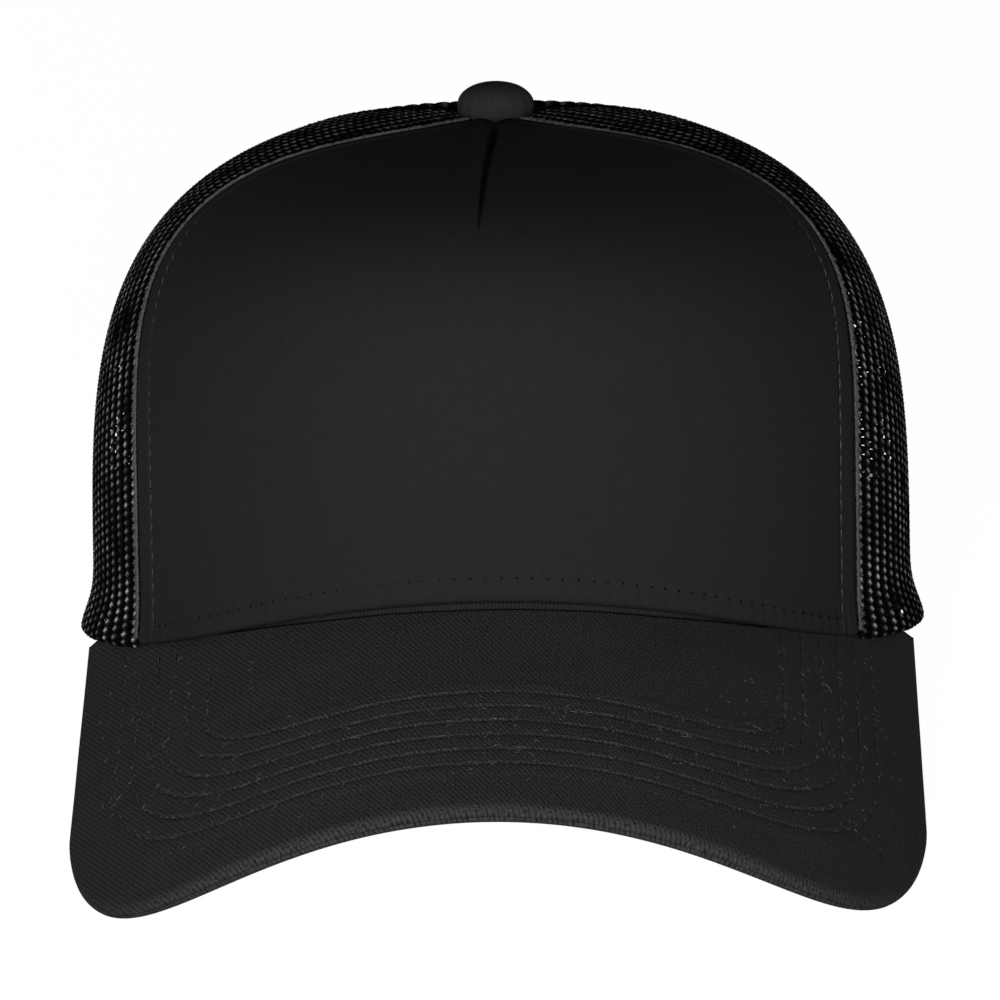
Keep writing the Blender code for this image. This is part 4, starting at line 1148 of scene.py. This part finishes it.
def brim_lint():
    """Short loose fibres on the brim, most of them caught along the stitch rows."""
    soup = Soup()
    for _ in range(LINT_FIBRES):
        if rng.random() < LINT_ON_ROWS:
            line = row_line(rng.choice(BRIM_ROWS))
            flat = line[rng.integers(len(line))] + rng.normal(size=2) * 0.0006
        else:
            half = brim_outline(0.008, 200)
            flat = half[rng.integers(200)] * np.array([rng.choice([-1, 1]), 1]) * rng.uniform(0.5, 1)
        place = brim_point(flat[0], flat[1])
        if crown_reach(place) < 1.03 or place[1] > -0.03:
            continue
        heading = rng.uniform(0, 2 * math.pi)
        curl = rng.normal() * 700
        step = np.linspace(0, 0.0003 + rng.exponential(0.0004), 5)
        turned = heading + curl * step
        path = flat + np.stack([np.cos(turned), np.sin(turned)], -1) * step[:, None]
        line = brim_point(path[:, 0], path[:, 1], -0.00006 - 0.00008 * rng.random())
        out = unit(line - brim_point(path[:, 0], path[:, 1], 0.001))
        thick = rng.uniform(0.00002, 0.00005)
        add_thread(soup, line, out, thick, thick, 4)
    soup.piece("brim_lint", LINT, "brim_twill")


def brim():
    brim_lint()
    brim_cover("brim_top_twill", False, 0.0008, "brim_top_cover")
    brim_cover("brim_under_twill", True, BRIM_THICKNESS, "brim_under_cover")
    for name, lower in (("brim_top_stitching", False), ("brim_under_stitching", True)):
        threads = Soup()
        for row in BRIM_ROWS:
            line = row_line(row)
            depth = BRIM_THICKNESS - 0.0003 if lower else 0.0003
            place = brim_point(line[:, 0], line[:, 1], depth)
            above = brim_point(line[:, 0], line[:, 1], depth - 0.001)
            out = unit(place - above) if lower else unit(above - place)
            add_stitches(threads, place, out, BRIM_STITCH, 0.8, 0.00019, 0.0001)
        threads.piece(name, BRIM_THREAD, "brim_twill")


# ---------------------------------------------------------------- inside the crown

HEM_STITCH = 0.0028            # from the band's edges to its rows of stitches
LABEL_FOOT = 0.004             # above the crown's edge
TAPE_PITCH = 0.0031


def band_foot(azimuth):
    """Height of the band's lower edge: below the crown's edge over the brim, above it behind."""
    return -0.0034 + (0.0034 + 0.0012) * smooth_step(np.degrees(np.abs(azimuth)), 62.0, 84.0)


def sweatband():
    """A folded band, its lower edge turned and stitched, its upper edge hemmed."""
    azimuth = np.radians(np.linspace(-BAND_END, BAND_END, 420))[None, :]
    share = np.linspace(0, 1, 34)[:, None]
    foot = band_foot(azimuth)
    height = foot + (BAND_HEIGHT - foot) * share
    azimuth = np.broadcast_to(azimuth, height.shape)
    face, normal = band_point(azimuth, height, band_depth(azimuth))
    puff = 0.00012 * ripple(face[..., 0], face[..., 1], face[..., 2], 0.02, 5)
    thick = BAND - 0.0002 + 0.0002 * np.sin(math.pi * share) + puff
    hem = bell(height - BAND_HEIGHT + HEM_STITCH, 0.0006) + bell(height - foot - HEM_STITCH, 0.0006)
    edge = np.clip(1 - np.minimum(height - foot, BAND_HEIGHT - height) / 0.0008, 0, 1) ** 2
    thick = thick - 0.0003 * hem - 0.0005 * edge
    cloth = laid_flat(face, face.shape[1] // 2, height)
    skin_piece("sweatband_twill", face, face - normal * thick[..., None], cloth,
               BAND_TWILL, "sweatband", ["sweatband"])

    threads = Soup()
    azimuth = np.radians(np.linspace(-BAND_END + 1, BAND_END - 1, 1500))
    for level in (band_foot(azimuth) + HEM_STITCH, np.full_like(azimuth, BAND_HEIGHT - HEM_STITCH)):
        line, out = band_point(azimuth, level, band_depth(azimuth) + BAND - 0.0003)
        add_stitches(threads, line, -out, 0.0036, radius=0.0002, proud=0.00022)
    threads.piece("sweatband_stitching", DARK_THREAD, "sweatband")


def care_label():
    """A blank satin tag, held by a row of stitches along its top."""
    middle = math.radians(LABEL_AZIMUTH)
    half = LABEL_SIZE[0] / 2 / HALF_WIDTH
    share = np.linspace(0, 1, 40)[:, None]
    azimuth, height = np.broadcast_arrays(
        np.linspace(middle + half, middle - half, 30)[None, :], LABEL_FOOT + LABEL_SIZE[1] * share,
    )
    lift = 0.0004 * (1 - share) ** 2 + 0.00015 * np.sin(share * 9 + azimuth * 60) * (1 - share)
    face, normal = band_point(azimuth, height, BAND_DEPTH_SIDE + BAND + 0.0006 + lift)
    skin_piece("care_label_satin", face, face + normal * 0.00025, laid_flat(face, 15, height),
               LABEL_SATIN, "label", ["care_label"])
    threads = Soup()
    add_stitches(threads, face[-3], -normal[-3], 0.0028, radius=0.00016, proud=0.0001)
    threads.piece("care_label_stitching", PALE_THREAD, "label")


def seam_tape(name, seam, across, side=1, foot=MESH_FOOT, top=TAPE_TOP):
    """A woven tape inside a seam with a row of stitches near each edge."""
    level = np.linspace(foot, top, 150)[:, None]
    offset = np.linspace(-TAPE_HALF_WIDTH, TAPE_HALF_WIDTH, 13)
    depth = np.interp(offset, *np.transpose(across)) - 0.00012 * np.cos(offset * 2 * math.pi / 0.0037)
    azimuth = seam(level) + turn(offset[None, :], level)
    face, normal = crown(azimuth, level, np.broadcast_to(depth, azimuth.shape) + 0.0004, 0.0)
    weave, threads = Soup(), Soup()
    for column in (2, 10):
        line, out = face[:, column], -normal[:, column]
        add_stitches(threads, line, out, TAPE_PITCH, radius=0.00018, proud=0.0001)
    add_skin(weave, face + normal * 0.0003, face, laid_flat(face, 6))
    if side < 0:
        weave.mirror()
        threads.mirror()
    weave.piece(name + "_weave", TAPE_WEAVE, "tape", replaces=[name])
    threads.piece(name + "_stitching", DARK_THREAD, "tape")


def seam_tapes():
    flat = [(-TAPE_HALF_WIDTH, TAPE_DEPTH), (TAPE_HALF_WIDTH, TAPE_DEPTH)]
    stepped = [
        (-TAPE_HALF_WIDTH, TAPE_OVER_LINING), (-0.0002, TAPE_OVER_LINING),
        (0.0024, TAPE_DEPTH), (TAPE_HALF_WIDTH, TAPE_DEPTH),
    ]
    for side, suffix in ((1, "left"), (-1, "right")):
        seam_tape("front_seam_tape_" + suffix, front_seam, stepped, side, 0.0034 / ARC_LENGTH)
        seam_tape("side_seam_tape_" + suffix, side_seam, flat, side)
    levels = np.linspace(0, 0.7, 200)
    heights = crown(np.full_like(levels, math.pi), levels)[0][:, 2]
    above_arch = np.interp(arch_outline(3)[1][1] + BINDING_WIDTH + 0.003, heights, levels)
    seam_tape("rear_seam_tape", mid_back, flat, foot=above_arch)


FACE_OUT, FACE_IN = 0.00085, -0.00150         # the binding's faces, from the mesh's outer face
FOLD_BACK = -0.0011            # where its fold starts, inside the opening
BINDING_THICK = 0.0004


def binding_section():
    """The folded tape's section: distance from the opening's edge, and height over the mesh."""
    middle, half = (FACE_OUT + FACE_IN) / 2, (FACE_OUT - FACE_IN) / 2

    def fold(reach):
        angle = np.linspace(math.pi / 2, 3 * math.pi / 2, 9)
        return [(FOLD_BACK + reach * 0.7 * math.cos(a), middle + reach * math.sin(a)) for a in angle]

    def leaf(face, out):
        """One edge of the tape, rounded, then slightly dished towards the fold."""
        return [
            (BINDING_WIDTH - 0.0002, face - out * 0.0003), (BINDING_WIDTH - 0.0004, face - out * 0.0001),
            (BINDING_WIDTH * 0.75, face - out * 0.00012), (BINDING_WIDTH * 0.4, face + out * 0.00006),
        ]

    section = leaf(FACE_OUT, 1) + fold(half) + leaf(FACE_IN, -1)[::-1]
    section += [(BINDING_WIDTH * 0.4, FACE_IN + BINDING_THICK)] + fold(half - BINDING_THICK)[::-1]
    section += [(BINDING_WIDTH * 0.4, FACE_OUT - BINDING_THICK)]
    return np.array(section)


def arch_binding():
    """A tape folded over the edge of the rear opening and stitched through both faces."""
    across, height = arch_outline(241, foot=0.0012)
    line = resample(np.stack([across, height, 0 * across], -1), 241)[3:-3]
    point, normal = rear_surface(line[:, 0], line[:, 1], 0.0)
    away = np.cross(unit(np.gradient(point, axis=0)), normal)
    section = binding_section()
    run = lengths(point)
    wave = 0.00012 * np.sin(run * 2 * math.pi / 0.0034)
    reach = section[:, 0] + wave[:, None] * (section[:, 0] > BINDING_WIDTH * 0.5)
    rings = point[:, None] + away[:, None] * reach[..., None] + normal[:, None] * section[:, 1:]
    cloth = np.stack(np.broadcast_arrays(run[:, None], lengths(section)[None, :], 0.0), -1)
    tape, threads = Soup(), Soup()
    add_loft(tape, rings, cloth, flip=True)
    tape.piece("arch_binding_tape", TAPE_WEAVE, "binding", replaces=["arch_binding"])
    for lift, sign in ((FACE_OUT - 0.0001, 1), (FACE_IN + 0.0001, -1)):
        line = point + away * (BINDING_WIDTH * 0.78) + normal * lift
        add_stitches(threads, line, normal * sign, TAPE_PITCH, radius=0.00019)
    threads.piece("arch_binding_stitching", DARK_THREAD, "binding")


# ---------------------------------------------------------------- button

SKIRT = 0.0016                 # the gathered cloth reaches down to the panels
RIM_HEIGHT = 0.0010            # from the button's foot to its widest ring
GATHERS = 17


def button_profile():
    """Radius and height of the button's rings, from its top over the rim and back inside."""
    rise = np.linspace(math.pi / 2, 0, 26)
    under = np.linspace(0, math.pi / 2, 9)[1:]
    widest = BUTTON_LIFT + RIM_HEIGHT
    radius = np.concatenate([
        BUTTON_RADIUS * np.cos(rise) ** 0.9, BUTTON_RADIUS - 0.0010 * (1 - np.cos(under)),
        [BUTTON_RADIUS - 0.0020, 0.0006],
    ])
    radius[0] = 0.00002
    height = np.concatenate([
        widest + (BUTTON_HEIGHT - RIM_HEIGHT) * np.sin(rise), widest - (RIM_HEIGHT + SKIRT) * np.sin(under),
        [BUTTON_LIFT - SKIRT, BUTTON_LIFT + 0.0016],
    ])
    return radius, height


def button():
    """The covered button, its cloth gathered under the rim."""
    theta = np.linspace(0, 2 * math.pi, 97)[:-1]
    radius, height = button_profile()
    out = (radius / BUTTON_RADIUS)[:, None]
    gather = 0.00010 * np.clip(out - 0.72, 0, 1) / 0.28 * np.cos(GATHERS * theta)
    gather = gather + 0.00008 * out * np.cos(3 * theta + 1)
    gather[-2:] = 0
    spread = radius[:, None] + gather
    points = np.stack([spread * np.cos(theta), spread * np.sin(theta), height[:, None] + 0 * spread], -1)
    arc = lengths(np.stack([radius, height], -1))[:, None]
    cloth = np.stack([arc * np.cos(theta), arc * np.sin(theta), 0 * spread], -1)
    lean = np.array(Matrix.Rotation(math.atan(TOP_LEAN), 3, "X"))
    soup = Soup()
    points = points @ lean.T + np.array([0, APEX_Y, CROWN_HEIGHT - APEX_DIMPLE])
    add_loft(soup, points, cloth, flip=True)
    soup.piece("button_twill", BUTTON_TWILL, "button_cloth", replaces=["button_cover"])


# ---------------------------------------------------------------- snap strap

STRAP_TIP = (SNAPS_ENGAGED - 1) / 2 * SNAP_PITCH + SNAP_MARGIN
STRAP_CORNER, STANDOFF_REACH = 0.0055, 0.011
RIM_ACROSS = np.array([1.0, 0.985, 0.95, 0.90, 0.87, 0.3])
RIM_LIFT = np.array([0.35, 0.8, 1.0, 1.0, 0.72, 0.72])


def strap_face(arcs, standoff):
    """Centre line and half height of a strap on the +X side, by arc length from mid back."""
    near = np.clip(arcs + STRAP_TIP, 0, STRAP_CORNER)
    half = STRAP_HEIGHT / 2 - STRAP_CORNER + np.sqrt(STRAP_CORNER**2 - (STRAP_CORNER - near) ** 2)
    point, outward = back_point(arcs)
    offset = standoff * smooth_step(HINGE_ARC - arcs, 0.0, STANDOFF_REACH)
    centre = point + outward * offset[:, None] + UP * (STRAP_FOOT + STRAP_HEIGHT / 2)
    return centre, outward, half


def strap_body(standoff):
    """A soft-edged strip with a raised rim, from its sewn root to its rounded tip."""
    span = np.arange(HINGE_ARC + ROOT_LENGTH, -STRAP_TIP + 0.006, -0.0008)
    tip = -STRAP_TIP + 0.006 * (1 - np.sin(np.linspace(0, math.pi / 2, 12)))
    centre, outward, half = strap_face(np.concatenate([span, tip]), standoff)
    across = np.concatenate([RIM_ACROSS, -RIM_ACROSS[::-1]])
    lift = np.concatenate([RIM_LIFT, RIM_LIFT[::-1]])
    across = np.concatenate([across, across[::-1]])
    lift = np.concatenate([lift, -lift[::-1]])
    rings = centre[:, None] + UP * (half[:, None] * across)[..., None]
    return rings + outward[:, None] * (STRAP / 2 * lift)[:, None]


def snap_places():
    first = -(SNAPS_ENGAGED - 1) / 2 * SNAP_PITCH
    return [first + i * SNAP_PITCH for i in range(SNAPS)]


def snap_strap(side, suffix, name, body, standoff):
    flip = np.array([side, 1, 1])
    soup = Soup()
    add_loft(soup, strap_body(standoff) * flip, flip=side > 0)
    nodes = [name, "strap_root_" + suffix]
    strap = soup.piece(name + "_moulding", STRAP_PLASTIC, "strap_plastic", None, nodes)
    if side > 0:
        punch_holes(strap, flip, standoff)
    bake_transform(strap)
    if side < 0:
        snap_pegs(flip, standoff, body)


def snap_frame(arc, standoff, flip):
    """Where a snap goes through the strap, and which way, in the cap's own frame."""
    centre, outward, _ = strap_face(np.array([arc]), standoff)
    return centre[0] * flip, outward[0] * flip


def punch_holes(strap, flip, standoff):
    """Round snap holes through the strap, with softened rims."""
    bm = bmesh.new()
    for arc in snap_places():
        centre, outward = snap_frame(arc, standoff, flip)
        turned = Vector(STAND @ outward).to_track_quat("Z", "Y").to_matrix().to_4x4()
        bmesh.ops.create_cone(
            bm, cap_ends=True, segments=48, radius1=HOLE_RADIUS, radius2=HOLE_RADIUS,
            depth=0.006, matrix=Matrix.Translation(Vector(stand(centre))) @ turned,
        )
    mesh = bpy.data.meshes.new("snap_holes")
    bm.to_mesh(mesh)
    bm.free()
    cutter = link("snap_holes", mesh)
    cut = strap.modifiers.new("holes", "BOOLEAN")
    cut.operation = "DIFFERENCE"
    cut.object = cutter
    cut.solver = "EXACT"
    graph = bpy.context.evaluated_depsgraph_get()
    made = bpy.data.meshes.new_from_object(strap.evaluated_get(graph))
    strap.modifiers.clear()
    strap.data = made
    made.set_sharp_from_angle(angle=math.radians(35))
    bpy.data.objects.remove(cutter)


PEG_PROFILE = np.array([       # radius, and height over the strap's face
    (0.0020, -0.0002), (0.0020, 0.0003), (0.0016, 0.0005), (0.0013, 0.0009), (0.00125, 0.0016),
    (0.0017, 0.0020), (0.0019, 0.0023), (0.0018, 0.0026), (0.0013, 0.00295), (0.0006, 0.0031),
    (0.00002, 0.0031),
])


def snap_pegs(flip, standoff, body):
    """Mushroom-headed pegs that press through the holes."""
    theta = np.linspace(0, 2 * math.pi, 33)[:-1]
    radius, height = PEG_PROFILE[:, :1], PEG_PROFILE[:, 1:] + STRAP / 2 - 0.0002
    soup = Soup()
    for arc in snap_places():
        centre, outward = snap_frame(arc, standoff, flip)
        side = unit(np.cross(UP, outward))
        rings = (side * (radius * np.cos(theta))[..., None] + UP * (radius * np.sin(theta))[..., None]
                 + centre + (outward * height)[:, None])
        add_loft(soup, rings)
    soup.piece("snap_pegs", STRAP_PLASTIC, "strap_plastic", body)


def straps():
    snap_strap(1, "left", "strap_with_holes", "holes_strap", STRAP_STANDOFF)
    snap_strap(-1, "right", "strap_with_pegs", "pegs_strap", -STRAP_STANDOFF)


# ---------------------------------------------------------------- frame nodes that stay

def keep_node(name, material):
    mesh = frame["nodes"][name].data
    mesh.materials.clear()
    mesh.materials.append(material)


# ---------------------------------------------------------------- stage

REACH, FLOOR_DROP = 6.0, 0.0001
BACKDROP_HEIGHT, BACKDROP_SIDES = 1.0, 96
SOFTBOXES = (                  # place, side and power
    ("front_softbox", (-0.05, -0.88, 0.26), 0.35, 16.5),
    ("back_left_softbox", (-1.0, 1.0, 0.24), 0.5, 4.2),
    ("back_right_softbox", (0.9, 1.1, 0.24), 0.5, 3.0),
)


def plain_faces(name, points, faces, material):
    mesh = bpy.data.meshes.new(name)
    mesh.from_pydata(points, [], faces)
    mesh.materials.append(material)
    return link(name, mesh)


def floor_and_backdrop():
    """A pale floor, and a ring of the same white far behind everything."""
    white = Finish("floor_white", (0.08, 0.08, 0.08), 0.9, Specular_IOR_Level=0.0)
    white.shader.inputs["Emission Color"].default_value = (1, 1, 1, 1)
    white.shader.inputs["Emission Strength"].default_value = 0.97
    corners = [(-REACH, -REACH), (REACH, -REACH), (REACH, REACH), (-REACH, REACH)]
    corners = [(x, y, -FLOOR_DROP) for x, y in corners]
    floor = plain_faces("floor", corners, [(0, 1, 2, 3)], white.material)
    count = BACKDROP_SIDES
    turns = np.linspace(0, 2 * math.pi, count, endpoint=False)
    levels = (-FLOOR_DROP, BACKDROP_HEIGHT)
    ring = [(REACH * math.cos(a), REACH * math.sin(a), z) for z in levels for a in turns]
    sides = [(i, (i + 1) % count, count + (i + 1) % count, count + i) for i in range(count)]
    backdrop = plain_faces("backdrop", ring, sides, white.material)


def lights():
    """A faint white world, one softbox in front of the cap and two weak ones behind it."""
    world = bpy.data.worlds.new("studio")
    bpy.context.scene.world = world
    world.use_nodes = True
    world.node_tree.nodes["Background"].inputs["Color"].default_value = (1, 1, 1, 1)
    world.node_tree.nodes["Background"].inputs["Strength"].default_value = 0.04
    for name, place, size, power in SOFTBOXES:
        lamp = bpy.data.lights.new(name, "AREA")
        lamp.size = size
        lamp.energy = power
        light = link(name, lamp)
        light.location = place
        aim = Vector((0, 0, 0.06)) - Vector(place)
        light.rotation_euler = aim.to_track_quat("-Z", "Y").to_euler()
        light.visible_camera = False


CAMERA_ELEVATION, CAMERA_AZIMUTH, CAMERA_ROLL = 10.007, 1.048, 0.888
CAMERA_DISTANCE, VIEW_WIDTH = 1.6, 0.2108237
LOOK_AT = np.array([0.0, 0.0, 0.05])
AIM_RIGHT, AIM_UP = 0.00023612, -0.0275188       # the lens points this far from LOOK_AT
SENSOR = 36.0


def camera():
    """A long lens in front of the cap, a little above it."""
    lens = bpy.data.cameras.new("camera")
    lens.sensor_width = SENSOR
    lens.lens = SENSOR * CAMERA_DISTANCE / VIEW_WIDTH
    view = link("camera", lens)
    bpy.context.scene.camera = view
    up = math.radians(CAMERA_ELEVATION)
    side = math.radians(CAMERA_AZIMUTH)
    back = np.array([math.sin(side) * math.cos(up), -math.cos(side) * math.cos(up), math.sin(up)])
    right = np.array([math.cos(side), math.sin(side), 0.0])
    roll_by = np.array(Matrix.Rotation(math.radians(-CAMERA_ROLL), 3, "Z"))
    axes = STAND @ np.stack([right, np.cross(back, right), back], 1) @ roll_by
    place = stand(LOOK_AT) + axes[:, 2] * CAMERA_DISTANCE
    back = unit(axes @ np.array([-AIM_RIGHT, -AIM_UP, CAMERA_DISTANCE]))
    right = unit(axes[:, 0] - back * (axes[:, 0] @ back))
    matrix = np.eye(4)
    matrix[:3, :3] = np.stack([right, np.cross(back, right), back], 1)
    matrix[:3, 3] = place
    view.matrix_world = Matrix(matrix.tolist())


front_panel()
front_threads()
dart_painted_shade_sheet()
front_lining()
mesh_panels()
brim()
sweatband()
care_label()
seam_tapes()
arch_binding()
button()
straps()
keep_node("brim_board", BOARD_PLASTIC)
keep_node("button_stud", STEEL)
keep_node("button_backing", STEEL)
floor_and_backdrop()
lights()
camera()
bpy.context.scene.view_settings.view_transform = "Standard"
